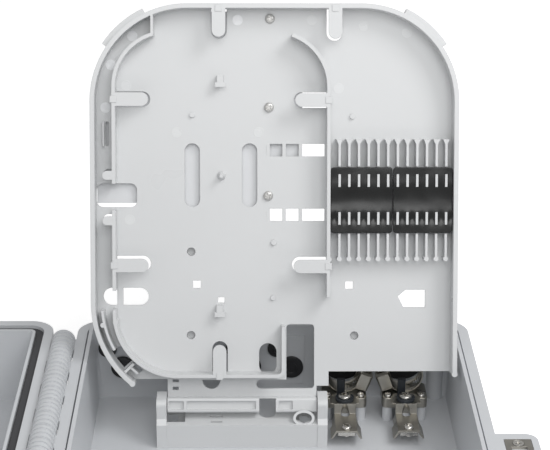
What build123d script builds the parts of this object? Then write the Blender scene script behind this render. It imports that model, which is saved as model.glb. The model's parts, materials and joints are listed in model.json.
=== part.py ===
"""Wall-mount fiber termination box, opened for work.

The base lies on its back face. The splice tray is flipped up about its hinge near the cable-entry wall, and
the lid is swung open by 180 degrees and lies flat beside the base.

Frame: origin at the centre of the base's back face, +X right, +Y towards the cable-entry wall, +Z up out of
the back. Millimetres.
"""
from build123d import *
from math import atan2, cos, degrees, radians, sin, tan
import os

os.makedirs("parts", exist_ok=True)

# ---------------------------------------------------------------- driving dimensions: shells
box_w, box_l = 211.0, 278.0          # rim of the base, over its outer edge
shell_depth = 45.0                   # back face to parting plane; the lid is as deep
floor_t, wall_t = 3.0, 2.5
draft = 2.0                          # degrees, walls narrow towards the floor
entry_r, head_r = 13.0, 55.0         # plan corner radii at the cable entry and at the other end
rim_w, rim_t = 5.3, 5.0              # flat rim
groove_w, groove_d = 1.0, 2.5        # moulded groove between rim and seal lip
lip_w, lip_h = 2.0, 1.5              # seal lip, and how far it stands above the rim
edge_r = 3.0                         # rounding of the back's outer edge

# lid
channel_w, channel_d = 4.6, 4.2      # channel for the seal in the lid's rim
seal_side_gap, seal_lip_gap = 0.3, 0.3
lid_rim_t = 7.0
lid_edge_r = 5.0
lid_rib_t, lid_rib_h = 1.8, 4.0
lid_rib_ys, lid_rib_xs = (-70.0, 0.0, 70.0), (-45.0, 45.0)
lid_tongue_w = 1.6                   # inner wall of the seal channel

# lid hinge
knuckle_count, knuckle_pitch = 15, 12.2
knuckle_gap = 0.6                    # between neighbouring knuckles
knuckle_r, knuckle_core_r = 6.2, 5.7
knuckle_ring_w, knuckle_ring_pitch = 2.6, 3.9
knuckle_web_t = 5.0
hinge_edge_gap = 0.4                 # knuckles to the rim of the other shell
hinge_end_inset = 21.0               # first knuckle's outer end, from the rim's entry end
pin_r, pin_fixed_gap, pin_run_gap = 1.5, 0.03, 0.1
pin_head_r, pin_head_t, pin_head_seat = 2.6, 1.5, 0.02

# ---------------------------------------------------------------- driving dimensions: tray and its hinge
tray_axis_y, tray_axis_z = 86.5, 23.5
tray_lean = 20.0                     # degrees past upright
tray_w, tray_top = 189.0, 207.5      # width, and top edge above the hinge axis
tray_r = 50.0                        # top corners
tray_floor_t, tray_wall_t, tray_wall_h = 2.0, 2.4, 11.0
wall_end_r = 1.5                     # rounded ends of the outer wall
heel_r, heel_v, heel_sweep = 55.0, 54.0, 51.0     # curved lower left wall
tray_foot = 16.8                     # lower edge on the right
skirt_v = 13.0                       # lower edge on the left
plate_left, plate_right = -55.7, 22.2             # hinge plate
shoulder_right, shoulder_v = 28.5, 9.2
beam_low, beam_high = -4.3, 3.6
beam_back, beam_front = -3.4, 4.0
stub_r, stub_gap = 2.4, 0.1
ear_t, ear_side_gap, ear_round = 5.2, 0.35, 3.0

# D-shaped fiber wall
d_wall_t = 1.8
d_left, d_right = -82.4, 27.8
d_top_v, d_top_r = 165.0, 28.0       # where the top arcs start, and their radius
d_heel_v, d_heel_r = 48.5, 32.5      # lower left arc
d_left_end, d_right_sweep = 106.0, 71.0           # where the top arcs stop, degrees
d_gap_low, d_gap_high = 102.0, 115.6 # break in the left wall at the fiber slot
d_slot_low, d_slot_high = 50.5, 60.5 # break at the lower slot
d_right_end = 57.0
d_toe_u, d_toe_v, d_toe_r = 4.6, 41.7, 3.0        # right end of the lower wall and how far it rises
fence_u, fence_low, fence_high, fence_t = -62.6, 191.4, 202.0, 1.3
divider_r, divider_angles = 49.3, (184.5, 209.5)  # in the heel channel, from the heel's centre
outlet_windows = [(46.2, 52.4, 210.0, 12.0), (46.2, 48.6, 225.5, 5.5)]
outlet_posts = [(50.4, 223.7, 1.4, 4.0), (48.4, 227.3, 4.5, 1.3), (47.2, 223.7, 1.4, 2.6)]
outlet_post_h = 8.0
lug_angles, lug_sweep, lug_out, lug_low, lug_high = (131.0, 49.0), 30.0, 2.8, 1.0, 8.0

# beam
beam_frames, beam_frame_d = [(-55.0, -47.2), (-45.6, -9.6), (2.4, 9.6)], 1.6
beam_notch = (-7.8, 0.8)

# small things on the tray's floor
cone_spot, cone_r, cone_h = (-27.4, 119.3), 2.3, 5.5
hook_spots, hook_w, hook_l, hook_h = [(-27.9, 169.0), (-28.3, 50.0)], 3.4, 4.2, 5.0
stud_spots, stud_r, stud_h = [(-42.4, 150.8), (40.5, 150.0), (-0.3, 84.6), (-0.5, 55.7)], 1.4, 1.2
loop_u, loop_low, loop_high, loop_h = -88.2, 134.5, 147.5, 3.0

# openings in the tray's floor: (u, v, width, height, corner) and (u, v, length, width, turn)
window_rows, window_h, window_bars, window_bar_w = (132.5, 98.9), 6.4, (-3.2, 5.1, 13.6), 1.9
tray_windows = [(10.95, v, 30.3, window_h, 0.4) for v in window_rows] + [
    (-81.7, 109.15, 21.0, 12.3, 3.5),
    (-40.3, 62.6, 4.0, 4.0, 0.3),
    (39.1, 62.1, 4.0, 4.0, 0.3),
    (13.65, 24.75, 14.5, 33.9, 2.0),
    (5.7, 10.15, 29.8, 4.7, 2.3),
    (-51.5, 12.0, 3.1, 1.5, 0.2),
    (-51.5, 8.0, 3.1, 1.7, 0.2),
    (-27.6, 54.4, 3.2, 3.0, 0.3),
]
tray_slots = [
    (-42.5, 119.5, 33.0, 7.9, 90),
    (-12.8, 119.5, 33.0, 7.9, 90),
    (-3.3, 23.6, 16.2, 9.1, 90),
    (-77.15, 56.35, 23.5, 9.1, 0),
    (-86.4, 141.0, 12.5, 1.7, 90),
]
slot_bar_u, slot_bar_v, slot_bar_w, slot_bar_h = -80.2, 56.35, 3.2, 9.1
cup_spots, cup_r = [(-43.2, 79.7), (-43.4, 36.0), (41.8, 35.6)], 2.2
cup_wall, cup_depth, cup_bottom = 1.2, 5.0, 1.0      # blind cups behind the floor
arch_u, arch_v, arch_r = -32.8, 12.4, 4.7
nose_left, nose_right, nose_low, nose_high = 64.6, 78.8, 50.5, 59.6

# retaining tabs
tab_w, tab_t = 7.0, 1.2
tab_hole_gap = 0.5
tab_block = 3.4                      # little block on the wall at a tab's root
top_tab_tips, low_tab_tip = (190.5, 189.5), 32.3
tongue_w = 4.6                       # short tongues over the left channel

# splice ribs and their rubber pads
rib_count, rib_pitch, rib_first = 12, 5.0, 33.5
rib_low, rib_high = 76.6, 138.3
rib_t, rib_h = 1.25, 8.0
rib_bulb_r = 1.3
rib_flare_w, rib_flare_l = 3.4, 4.2
pad_low, pad_high = 90.0, 124.0
pad_t, pad_corner = 1.3, 1.6
pad_row_high, pad_row_low, pad_slot_l = 117.1, 97.6, 6.8
pad_slot_gap = 0.15                  # slot to rib, each side
pad_side_gap = 0.3                   # pads to the walls beside them
pad_split = 0.4                      # between the two pads
pad_rise = 6.6                       # underside above the tray's floor
pad_end_gap, rib_top_proud = 0.4, 0.5

# adapter panel behind the tray
panel_left, panel_right = -92.0, 14.6
panel_low, panel_high = 102.4, 204.0
panel_step_u, panel_step_v = -60.0, 105.0          # the lower edge is higher on the left
panel_t, panel_stand, panel_boss_r = 1.5, 0.8, 3.4
panel_shelf_v, panel_shelf_h = 150.0, 30.0
adapter_count, adapter_pitch = 8, 12.4
adapter_w, adapter_h, adapter_l = 9.4, 22.0, 27.0
adapter_gap = 0.1
adapter_body = 12.8                  # across the adapter, behind the tray
adapter_flange_t, adapter_wall, adapter_bore_l = 1.6, 1.0, 10.0
cap_l, cap_plug_l, cap_inset = 5.0, 6.0, 0.6
panel_corner, panel_edge_h, panel_nut_h = 3.0, 6.0, 2.0
panel_tray_r = 46.0                  # follows the tray's top left corner

# tray screws
tray_screw_spots = [(-2.3, 200.2), (-2.8, 154.6), (-3.2, 108.8)]
tray_screw_head_r, tray_screw_head_h, tray_screw_r = 2.5, 1.7, 1.25
panel_nut_wall = 1.6                 # moulded nut round each tray screw, behind the panel
cross_l, cross_w, cross_d = 1.1, 0.26, 0.5          # cross recess, as shares of head radius and height
head_round = 0.55                    # rounding of a pan head, as a share of its height
shank_gap = 0.05                     # a screw's shank to its pilot hole

# ---------------------------------------------------------------- driving dimensions: hinge bracket
bracket_front, bracket_back = 76.2, 92.0
ear_front = 78.2                     # clear of the tray when it is folded down
ear_foot_front, ear_slope_top = 75.9, 19.0           # below, the ears stand just proud of the bracket
bracket_top = 16.4
bracket_wall = 2.0
ear_top = 29.0
foot_l, foot_w, foot_t = 9.0, 11.0, 3.0
foot_spots = [-45.0, 8.0]
foot_screw_r, foot_screw_head_r, foot_screw_head_h = 1.6, 3.2, 2.2
foot_screw_bite = 2.2
snap_h = 3.6
bracket_windows = [
    ((-56.0, -46.6), (79.8, 90.5)),
    ((-33.3, -27.1), (79.0, 80.6)),
    ((-33.3, -27.1), (84.3, 86.0)),
]
catch_spot, catch_side = (15.4, 82.6), 6.4
loop_spot, loop_lean, loop_t = (15.4, 79.0, 18.9), 65.0, 1.4      # catch loop standing before the beam
loop_half_w, loop_half_h, loop_skin = 5.6, 4.2, 1.4
notch_x, notch_l, notch_w = -3.5, 8.0, 8.6

# ---------------------------------------------------------------- driving dimensions: ports and clamps
clamp_x = {"left": 37.8, "right": 70.35}
main_port_r, main_port_z = 10.8, 27.0
main_bore_r = 6.5
main_flange_r, grommet_lip_t = 12.6, 2.0
drop_pitch, drop_count = 23.0, 5
big_drop_first, big_drop_z, big_drop_r = -82.0, 22.0, 5.4
small_drop_first, small_drop_z, small_drop_r = -90.0, 33.5, 3.9
drop_lip, drop_slit = 1.2, 0.6         # lip beyond the hole; opening as a share of the hole
drop_pad, main_pad_side = (-96.0, 17.0), 14.5       # flat faces round the ports, in X
port_low_z, port_step = 11.0, 1.6    # foot of the flat faces, and how far they stand into the box
wall_seat = 0.05                     # rubber to the edge of its hole

plate_w, plate_l, plate_t = 24.1, 17.2, 5.7
plate_front = 102.5
plate_z = 17.0                       # top of the clamp plate
plate_corner_r, plate_edge_r = 2.2, 0.5
tongue_half, tongue_l = 4.6, 5.7     # middle of the plate, reaching forward under the channel
corner_in = 3.15
plate_screw_in = 3.3                 # plate screws behind the plate's front edge
band_r, band_t, band_w = 10.0, 0.8, 10.0
band_y = 114.3
band_slot_n, band_slot_w = 18, 1.3
worm_r, worm_l = 2.0, 7.4
worm_low = 20.0                      # worm's middle below the band's middle, degrees
worm_thread_n, worm_thread_w, worm_thread_d = 5, 0.6, 0.5
worm_wall = 0.8
worm_gap = 0.15
housing_seat = 0.02                  # housing to the band that it sits on
washer_r, washer_t = 4.9, 1.4
clamp_screw_r, clamp_head_r, clamp_head_h = 2.0, 3.4, 1.9
clamp_screw_y = 100.2
block_w, block_l, block_h, block_off, block_r = 4.2, 2.9, 9.1, -1.7, 0.6
channel_top_w, channel_t, channel_leg = 11.3, 0.9, 4.6
channel_splay, channel_rear_splay = 2.4, 1.2
channel_drop = 5.0                   # step from the part on the plate down to the front part
channel_front, channel_step, channel_foot, channel_bend, channel_rear = 75.8, 86.4, 93.6, 95.2, 105.8
channel_ear_w, channel_ear_front, channel_ear_back = 2.0, 96.0, 103.2
channel_screw_y = 79.0
nut_w, nut_l, nut_t, nut_r = 9.6, 6.4, 2.0, 0.8
boss_x, boss_r = 89.0, 4.6
plate_post_r, clamp_post_r = 2.9, 4.0
plate_screw_r, plate_head_r, plate_head_h, plate_screw_l = 1.3, 2.2, 1.4, 10.0
clamp_screw_l = 12.0
channel_screw_past = 1.9             # screw end beyond the nut
channel_screw_r, channel_head_r, channel_head_h = 1.8, 2.6, 1.8
channel_hole_y, channel_hole_r = 93.0, 2.3
block_y = 107.5
band_slot_share = 0.6                # length of the slots, as a share of the band's width
band_slot_from, band_slot_step = -80.0, 9.0       # degrees up from +X
worm_skirt = 2.0
worm_head_r, worm_head_l = 2.2, 2.2
worm_slot_w, worm_slot_d = 1.0, 1.2
housing_round = 1.6                  # rounding of the worm housing's outer edges
hole_gap = 0.25                      # screw to the hole it passes through

# ---------------------------------------------------------------- driving dimensions: lock and wall mounting
ear_l, ear_out = 40.0, 20.0          # lock ears on both shells
lock_y = 0.0
lock_out = 10.0                      # lock axis beyond the rim's outer edge
lock_ear_r, lock_ear_t = 6.0, 6.0    # corners of the ears, and the base ear's thickness
lock_r, lock_gap = 5.0, 0.1
lock_head_r, lock_head_t = 7.0, 2.5
lock_seat_t = 6.0                    # end wall that the lock's head and nut clamp
lock_pocket_r = 8.0
lock_nut_side, lock_nut_t = 13.0, 3.0
spindle_r = 2.8
cam_head_rim, cam_head_h, cylinder_past_nut = 0.9, 1.6, 2.0
screw_end_gap = 0.3                  # a screw's end to the bottom of its hole
overlap = 0.5                        # how far one solid form is sunk into the next, to join them
lock_boss_h = 18.0
keeper_l, keeper_w, keeper_t = 30.0, 13.0, 1.5
cam_l, cam_w, cam_t = 15.0, 6.0, 2.0
cam_slot_gap = 0.8
cam_drop = 7.0                       # cam's top below the parting plane
key_side, key_depth = 3.4, 4.0
cam_screw_r, cam_screw_l = 1.2, 6.0
keeper_cone_r = 2.7
mount_span_x, mount_span_y = 150.0, 150.0
mount_y = -20.0
mount_r, mount_pad_r, mount_pad_h = 3.0, 8.0, 2.5
keeper_gap, keeper_screw_y, keeper_screw_r = 0.15, 11.5, 1.3

# ---------------------------------------------------------------- derived places
lip_in = rim_w + groove_w + lip_w                 # inner face of the seal lip, in from the rim's edge
rim_x, rim_y = box_w / 2, box_l / 2
hinge_x = -(rim_x + knuckle_r + hinge_edge_gap)
hinge_end_y = rim_y - hinge_end_inset
hinge_far_y = hinge_end_y - knuckle_count * knuckle_pitch
entry_wall_y = rim_y - lip_in
tray_plane = Plane(
    origin=(0, tray_axis_y, tray_axis_z),
    x_dir=(1, 0, 0),
    z_dir=(0, -cos(radians(tray_lean)), sin(radians(tray_lean))),
)
tray_half = tray_w / 2
rib_spots = [rib_first + i * rib_pitch for i in range(rib_count)]


def shell_outline(inset):
    """Plan of either shell, set in from the rim's outer edge, drawn in the open sketch."""
    Rectangle(box_w - 2 * inset, box_l - 2 * inset)
    fillet(vertices().group_by(Axis.Y)[-1], entry_r - inset)
    fillet(vertices().group_by(Axis.Y)[0], head_r - inset)


def rod_along_y(radius, x, z, y_from, y_to, mode=Mode.ADD):
    """Cylinder along Y in the open part."""
    with Locations(Location((x, (y_from + y_to) / 2, z), (90, 0, 0))):
        Cylinder(radius, abs(y_to - y_from), mode=mode)


def block(x_range, y_range, z_range, mode=Mode.ADD):
    """Box between six planes in the open part."""
    middle = [(low + high) / 2 for low, high in (x_range, y_range, z_range)]
    with Locations(tuple(middle)):
        Box(*[high - low for low, high in (x_range, y_range, z_range)], mode=mode)


def add_knuckles(first, shell_x, bore_r):
    """Every other hinge knuckle from number first, each on a web to the shell whose rim is at shell_x."""
    for number in range(first, knuckle_count, 2):
        middle_y = hinge_end_y - (number + 0.5) * knuckle_pitch
        half = (knuckle_pitch - knuckle_gap) / 2
        rod_along_y(knuckle_core_r, hinge_x, shell_depth, middle_y - half, middle_y + half)
        for step in (-1, 0, 1):
            ring_y = middle_y + step * knuckle_ring_pitch
            rod_along_y(
                knuckle_r, hinge_x, shell_depth, ring_y - knuckle_ring_w / 2, ring_y + knuckle_ring_w / 2
            )
        block(
            sorted((hinge_x, shell_x)),
            (middle_y - half, middle_y + half),
            (shell_depth - knuckle_web_t, shell_depth),
        )
    rod_along_y(bore_r, hinge_x, shell_depth, hinge_far_y - 1, hinge_end_y + 1, Mode.SUBTRACT)


# ================================================================ base housing
port_in_y = entry_wall_y - port_step              # flat faces of the port wall
port_out_y = rim_y - rim_w
port_high_z = shell_depth - rim_t + 0.5
port_pads = [drop_pad, (clamp_x["left"] - main_pad_side, clamp_x["right"] + main_pad_side)]
drop_ports = [(big_drop_first + i * drop_pitch, big_drop_z, big_drop_r) for i in range(drop_count)]
drop_ports += [(small_drop_first + i * drop_pitch, small_drop_z, small_drop_r) for i in range(drop_count)]
plate_screw_y = plate_front + plate_screw_in
plate_screws_at = [
    (x + side * (plate_w / 2 - corner_in), plate_screw_y) for x in clamp_x.values() for side in (-1, 1)
]
clamp_screws_at = [(x, clamp_screw_y) for x in clamp_x.values()]
lock_x = rim_x + lock_out
keeper_screws_at = [(lock_x, lock_y + side * keeper_screw_y) for side in (-1, 1)]
mount_spots = [
    (sx * mount_span_x / 2, mount_y + sy * mount_span_y / 2) for sx in (-1, 1) for sy in (-1, 1)
]

with BuildPart() as base_housing:
    with BuildSketch(Plane.XY.offset(shell_depth - rim_t)):
        shell_outline(lip_in - wall_t)
    extrude(amount=-(shell_depth - rim_t), taper=draft)
    fillet(faces().sort_by(Axis.Z)[0].edges(), edge_r)
    with BuildSketch(Plane.XY.offset(shell_depth - rim_t)):
        shell_outline(0)
    extrude(amount=rim_t)
    with BuildSketch(Plane.XY.offset(shell_depth)):
        shell_outline(rim_w + groove_w)
    extrude(amount=lip_h)
    # ear on the right for the lock's keeper
    with BuildSketch(Plane.XY.offset(shell_depth - lock_ear_t)):
        with Locations((rim_x, lock_y)):
            Rectangle(2 * ear_out, ear_l)
        fillet(vertices().group_by(Axis.X)[-1], lock_ear_r)
    extrude(amount=lock_ear_t)
    # flat faces for the ports in the drafted entry wall
    for pad in port_pads:
        block(pad, (port_in_y, port_out_y), (port_low_z, port_high_z))
    # inside of the tub, then the port wall again from within
    with BuildSketch(Plane.XY.offset(shell_depth + lip_h)):
        shell_outline(lip_in)
    extrude(amount=-(shell_depth + lip_h - floor_t), taper=draft, mode=Mode.SUBTRACT)
    for pad in port_pads:
        block(pad, (port_in_y, port_out_y), (port_low_z, port_high_z))
    # groove between rim and seal lip
    with BuildSketch(Plane.XY.offset(shell_depth)):
        shell_outline(rim_w)
        with BuildSketch(mode=Mode.PRIVATE) as inner_groove:
            shell_outline(rim_w + groove_w)
        add(inner_groove.sketch, mode=Mode.SUBTRACT)
    extrude(amount=-groove_d, mode=Mode.SUBTRACT)
    # round boss up the entry wall
    with BuildSketch(Plane.XY.offset(floor_t - overlap)):
        with Locations((boss_x, entry_wall_y - 1.0)):
            Circle(boss_r)
    extrude(amount=shell_depth - rim_t - floor_t)
    # posts under the clamps
    for spots, radius in ((plate_screws_at, plate_post_r), (clamp_screws_at, clamp_post_r)):
        with BuildSketch(Plane.XY.offset(floor_t - overlap)):
            with Locations(*spots):
                Circle(radius)
        extrude(amount=plate_z - plate_t - floor_t + overlap)
    with BuildSketch(Plane.XY.offset(plate_z)):
        with Locations(*plate_screws_at):
            Circle(plate_screw_r)
        with Locations(*clamp_screws_at):
            Circle(clamp_screw_r)
    extrude(amount=-(plate_z - floor_t), mode=Mode.SUBTRACT)
    # wall-mounting holes in raised pads
    with BuildSketch(Plane.XY.offset(floor_t - overlap)):
        with Locations(*mount_spots):
            Circle(mount_pad_r)
    extrude(amount=mount_pad_h + overlap)
    with BuildSketch(Plane.XY):
        with Locations(*mount_spots):
            Circle(mount_r)
    extrude(amount=floor_t + mount_pad_h, mode=Mode.SUBTRACT)
    # pilot holes for the hinge bracket's feet
    with BuildSketch(Plane.XY.offset(floor_t)):
        with Locations(*[(x, bracket_back + foot_l / 2) for x in foot_spots]):
            Circle(foot_screw_r)
    extrude(amount=-foot_screw_bite, mode=Mode.SUBTRACT)
    # ports
    for x, z, radius in drop_ports + [(x, main_port_z, main_port_r) for x in clamp_x.values()]:
        rod_along_y(radius, x, z, port_in_y - 1, port_out_y + 1, Mode.SUBTRACT)
    # pocket and slot for the keeper
    block((lock_x - keeper_w / 2 - keeper_gap, lock_x + keeper_w / 2 + keeper_gap),
          (lock_y - keeper_l / 2 - keeper_gap, lock_y + keeper_l / 2 + keeper_gap),
          (shell_depth - keeper_t, shell_depth), Mode.SUBTRACT)
    block((lock_x - cam_w / 2 - cam_slot_gap, lock_x + cam_w / 2 + cam_slot_gap),
          (lock_y - cam_l / 2 - cam_slot_gap, lock_y + cam_l / 2 + cam_slot_gap),
          (shell_depth - lock_ear_t, shell_depth), Mode.SUBTRACT)
    with BuildSketch(Plane.XY.offset(shell_depth)):
        with Locations(*keeper_screws_at):
            Circle(keeper_screw_r)
    extrude(amount=-lock_ear_t, mode=Mode.SUBTRACT)
    add_knuckles(0, -rim_x + 1, pin_r + pin_fixed_gap)
base_housing.part.label = "base_housing"
export_step(base_housing.part, "parts/base_housing.step")

# ================================================================ grommets
with BuildPart() as drop_grommets:
    for x, z, radius in drop_ports:
        rod_along_y(radius + drop_lip, x, z, port_in_y - grommet_lip_t, port_in_y)
        rod_along_y(radius - wall_seat, x, z, port_in_y, port_out_y)
        rod_along_y(radius + drop_lip, x, z, port_out_y, port_out_y + grommet_lip_t)
        rod_along_y(radius * drop_slit, x, z, port_out_y - 1, port_out_y + grommet_lip_t + 1, Mode.SUBTRACT)
drop_grommets.part.label = "drop_grommets"
export_step(drop_grommets.part, "parts/drop_grommets.step")

with BuildPart() as main_grommets:
    for x in clamp_x.values():
        rod_along_y(main_flange_r, x, main_port_z, port_in_y - grommet_lip_t, port_in_y)
        rod_along_y(main_port_r - wall_seat, x, main_port_z, port_in_y, port_out_y)
        rod_along_y(main_flange_r, x, main_port_z, port_out_y, port_out_y + grommet_lip_t)
        rod_along_y(main_bore_r, x, main_port_z, port_in_y - 5, port_out_y + 5, Mode.SUBTRACT)
main_grommets.part.label = "main_grommets"
export_step(main_grommets.part, "parts/main_grommets.step")


# ================================================================ cable clamps
def screws(spots, seat_z, radius, head_r, head_h, length):
    """Pan-head screws pointing down, heads standing on seat_z, with a cross recess."""
    with BuildSketch(Plane.XY.offset(seat_z)) as heads:
        with Locations(*spots):
            Circle(head_r)
    extrude(heads.sketch, amount=head_h)
    fillet(faces().group_by(Axis.Z)[-1].edges(), head_h * head_round)
    with BuildSketch(Plane.XY.offset(seat_z)) as shanks:
        with Locations(*spots):
            Circle(radius)
    extrude(shanks.sketch, amount=-length)
    with BuildSketch(Plane.XY.offset(seat_z + head_h)) as crosses:
        with Locations(*spots):
            Rectangle(head_r * cross_l, head_r * cross_w)
            Rectangle(head_r * cross_w, head_r * cross_l)
    extrude(crosses.sketch, amount=-head_h * cross_d, mode=Mode.SUBTRACT)


channel_low_z = plate_z - channel_drop            # underside of the channel's front part
channel_slope = degrees(atan2(channel_drop, channel_bend - channel_foot))
channel_bend_shift = channel_t * tan(radians(channel_slope / 2))


def channel_profile(splay):
    """Cross-section of the channel's front part, its legs splayed outwards by splay."""
    half, top, low = channel_top_w / 2, channel_low_z + channel_t, channel_low_z + channel_t - channel_leg
    skin = channel_t
    with BuildSketch(Plane.XZ) as profile:
        with BuildLine():
            Polyline((-half, top), (half, top), (half + splay, low), (half + splay - skin, low),
                     (half - skin, top - skin), (skin - half, top - skin), (skin - half - splay, low),
                     (-half - splay, low), close=True)
        make_face()
    return profile.sketch


for side, x in clamp_x.items():
    with BuildPart() as clamp_plate:
        with BuildSketch(Plane.XY.offset(plate_z)):
            with Locations((x, plate_front + plate_l / 2)):
                Rectangle(plate_w, plate_l)
            with Locations((x, plate_front - tongue_l / 2)):
                Rectangle(2 * tongue_half, tongue_l)
            fillet(vertices().group_by(Axis.X)[0] + vertices().group_by(Axis.X)[-1], plate_corner_r)
        extrude(amount=-plate_t)
        fillet(faces().group_by(Axis.Z)[-1].edges(), plate_edge_r)
        with BuildSketch(Plane.XY.offset(plate_z)):
            with Locations(*[(x + edge * (plate_w / 2 - corner_in), plate_screw_y) for edge in (-1, 1)]):
                Circle(plate_screw_r + hole_gap)
            with Locations((x, clamp_screw_y)):
                Circle(clamp_screw_r + hole_gap)
        extrude(amount=-plate_t, mode=Mode.SUBTRACT)
    clamp_plate.part.label = f"clamp_plate_{side}"
    export_step(clamp_plate.part, f"parts/clamp_plate_{side}.step")

    with BuildPart() as channel:
        # bent strip: front part, step, and the part that lies on the plate
        with BuildSketch(Plane.YZ.offset(x - channel_top_w / 2)):
            with BuildLine():
                Polyline((channel_front, channel_low_z + channel_t),
                         (channel_foot, channel_low_z + channel_t),
                         (channel_bend, plate_z + channel_t), (channel_rear, plate_z + channel_t),
                         (channel_rear, plate_z), (channel_bend + channel_bend_shift, plate_z),
                         (channel_foot + channel_bend_shift, channel_low_z), (channel_front, channel_low_z),
                         close=True)
            make_face()
        extrude(amount=channel_top_w)
        block((x - channel_top_w / 2 - channel_ear_w, x + channel_top_w / 2 + channel_ear_w),
              (channel_ear_front, channel_ear_back), (plate_z, plate_z + channel_t))
        for splay, y_from, y_to in ((channel_splay, channel_front, channel_step),
                                    (channel_rear_splay, channel_step, channel_foot)):
            with Locations((x, y_from, 0)):
                add(extrude(channel_profile(splay), amount=-(y_to - y_from), mode=Mode.PRIVATE))
        with BuildSketch(Plane.XY.offset(plate_z + channel_t)):
            with Locations((x, clamp_screw_y)):
                Circle(clamp_screw_r + hole_gap)
            with Locations((x, channel_screw_y)):
                Circle(channel_screw_r + hole_gap)
            with Locations((x, channel_hole_y)):
                Circle(channel_hole_r)
        extrude(amount=-(channel_t + channel_drop), mode=Mode.SUBTRACT)
    channel.part.label = f"channel_{side}"
    export_step(channel.part, f"parts/channel_{side}.step")

    band_z = plate_z + band_r
    with BuildPart() as hose_band:
        rod_along_y(band_r, x, band_z, band_y - band_w / 2, band_y + band_w / 2)
        rod_along_y(band_r - band_t, x, band_z, band_y - band_w, band_y + band_w, Mode.SUBTRACT)
        for slot in range(band_slot_n):
            angle = band_slot_from + slot * band_slot_step
            reach = band_r - band_t / 2
            with Locations(Location((x + reach * cos(radians(angle)), band_y, band_z
                                     + reach * sin(radians(angle))), (0, -angle, 0))):
                Box(3 * band_t, band_w * band_slot_share, band_slot_w, mode=Mode.SUBTRACT)
    hose_band.part.label = f"hose_band_{side}"
    export_step(hose_band.part, f"parts/hose_band_{side}.step")

    # worm and housing are drawn on top of the band, then turned about it to where the clamps face each other,
    # with the worm's head upwards
    inwards = 1 if x < sum(clamp_x.values()) / 2 else -1
    band_axis = Axis((x, band_y, band_z), (0, 1, 0))
    worm_turned = inwards * (90 + worm_low)
    worm_z = band_z + band_r + worm_gap + worm_r
    with BuildPart() as worm_housing:
        block((x - worm_l / 2 - worm_wall, x + worm_l / 2 + worm_wall),
              (band_y - band_w / 2 - worm_wall - worm_gap, band_y + band_w / 2 + worm_wall + worm_gap),
              (band_z + band_r - worm_skirt, worm_z + worm_r + worm_wall))
        fillet(edges().filter_by(Axis.X).group_by(Axis.Z)[-1], housing_round)
        rod_along_y(band_r + housing_seat, x, band_z, band_y - band_w / 2 - worm_gap,
                    band_y + band_w / 2 + worm_gap, Mode.SUBTRACT)
        with Locations(Location((x, band_y, worm_z), (0, 90, 0))):
            Cylinder(worm_r + worm_gap, worm_l + 4 * worm_wall, mode=Mode.SUBTRACT)
    housing_solid = worm_housing.part.rotate(band_axis, worm_turned)
    housing_solid.label = f"worm_housing_{side}"
    export_step(housing_solid, f"parts/worm_housing_{side}.step")

    with BuildPart() as worm_screw:
        with Locations(Location((x, band_y, worm_z), (0, 90, 0))):
            Cylinder(worm_r, worm_l)
        for turn in range(worm_thread_n):
            along = (turn - (worm_thread_n - 1) / 2) * worm_l / (worm_thread_n + 1)
            with Locations(Location((x + along, band_y, worm_z), (0, 90, 0))):
                Cylinder(worm_r + 1, worm_thread_w, mode=Mode.SUBTRACT)
                Cylinder(worm_r - worm_thread_d, worm_thread_w)
        shank_end = x - inwards * worm_l / 2
        head_x = shank_end - inwards * (worm_wall + worm_gap)
        with Locations(Location((shank_end, band_y, worm_z), (0, 90, 0))):
            Cylinder(worm_r - worm_thread_d, 2 * (worm_wall + worm_gap) + overlap)
        with BuildSketch(Plane.YZ.offset(head_x)):
            with Locations((band_y, worm_z)):
                RegularPolygon(worm_head_r, 6)
        extrude(amount=-inwards * worm_head_l)
        slot_x = head_x - inwards * (worm_head_l - worm_slot_d / 2)
        block((slot_x - worm_slot_d / 2, slot_x + worm_slot_d / 2),
              (band_y - worm_slot_w / 2, band_y + worm_slot_w / 2),
              (worm_z - worm_head_r, worm_z + worm_head_r), Mode.SUBTRACT)
    worm_solid = worm_screw.part.rotate(band_axis, worm_turned)
    worm_solid.label = f"worm_screw_{side}"
    export_step(worm_solid, f"parts/worm_screw_{side}.step")

with BuildPart() as plate_screws:
    screws(plate_screws_at, plate_z, plate_screw_r - shank_gap, plate_head_r, plate_head_h, plate_screw_l)
plate_screws.part.label = "plate_screws"
export_step(plate_screws.part, "parts/plate_screws.step")

with BuildPart() as clamp_washers:
    with BuildSketch(Plane.XY.offset(plate_z + channel_t)):
        with Locations(*clamp_screws_at):
            Circle(washer_r)
            Circle(clamp_screw_r + hole_gap, mode=Mode.SUBTRACT)
    extrude(amount=washer_t)
clamp_washers.part.label = "clamp_washers"
export_step(clamp_washers.part, "parts/clamp_washers.step")

with BuildPart() as clamp_screws:
    screws(clamp_screws_at, plate_z + channel_t + washer_t, clamp_screw_r - shank_gap, clamp_head_r,
           clamp_head_h, clamp_screw_l)
clamp_screws.part.label = "clamp_screws"
export_step(clamp_screws.part, "parts/clamp_screws.step")

with BuildPart() as clamp_blocks:
    for x in clamp_x.values():
        block((x + block_off - block_w / 2, x + block_off + block_w / 2),
              (block_y - block_l / 2, block_y + block_l / 2), (plate_z, plate_z + block_h))
    fillet(edges().filter_by(Axis.Z), block_r)
clamp_blocks.part.label = "clamp_blocks"
export_step(clamp_blocks.part, "parts/clamp_blocks.step")

channel_screws_at = [(x, channel_screw_y) for x in clamp_x.values()]
with BuildPart() as channel_screws:
    screws(channel_screws_at, channel_low_z + channel_t, channel_screw_r - shank_gap, channel_head_r,
           channel_head_h, channel_t + nut_t + channel_screw_past)
channel_screws.part.label = "channel_screws"
export_step(channel_screws.part, "parts/channel_screws.step")

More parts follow.
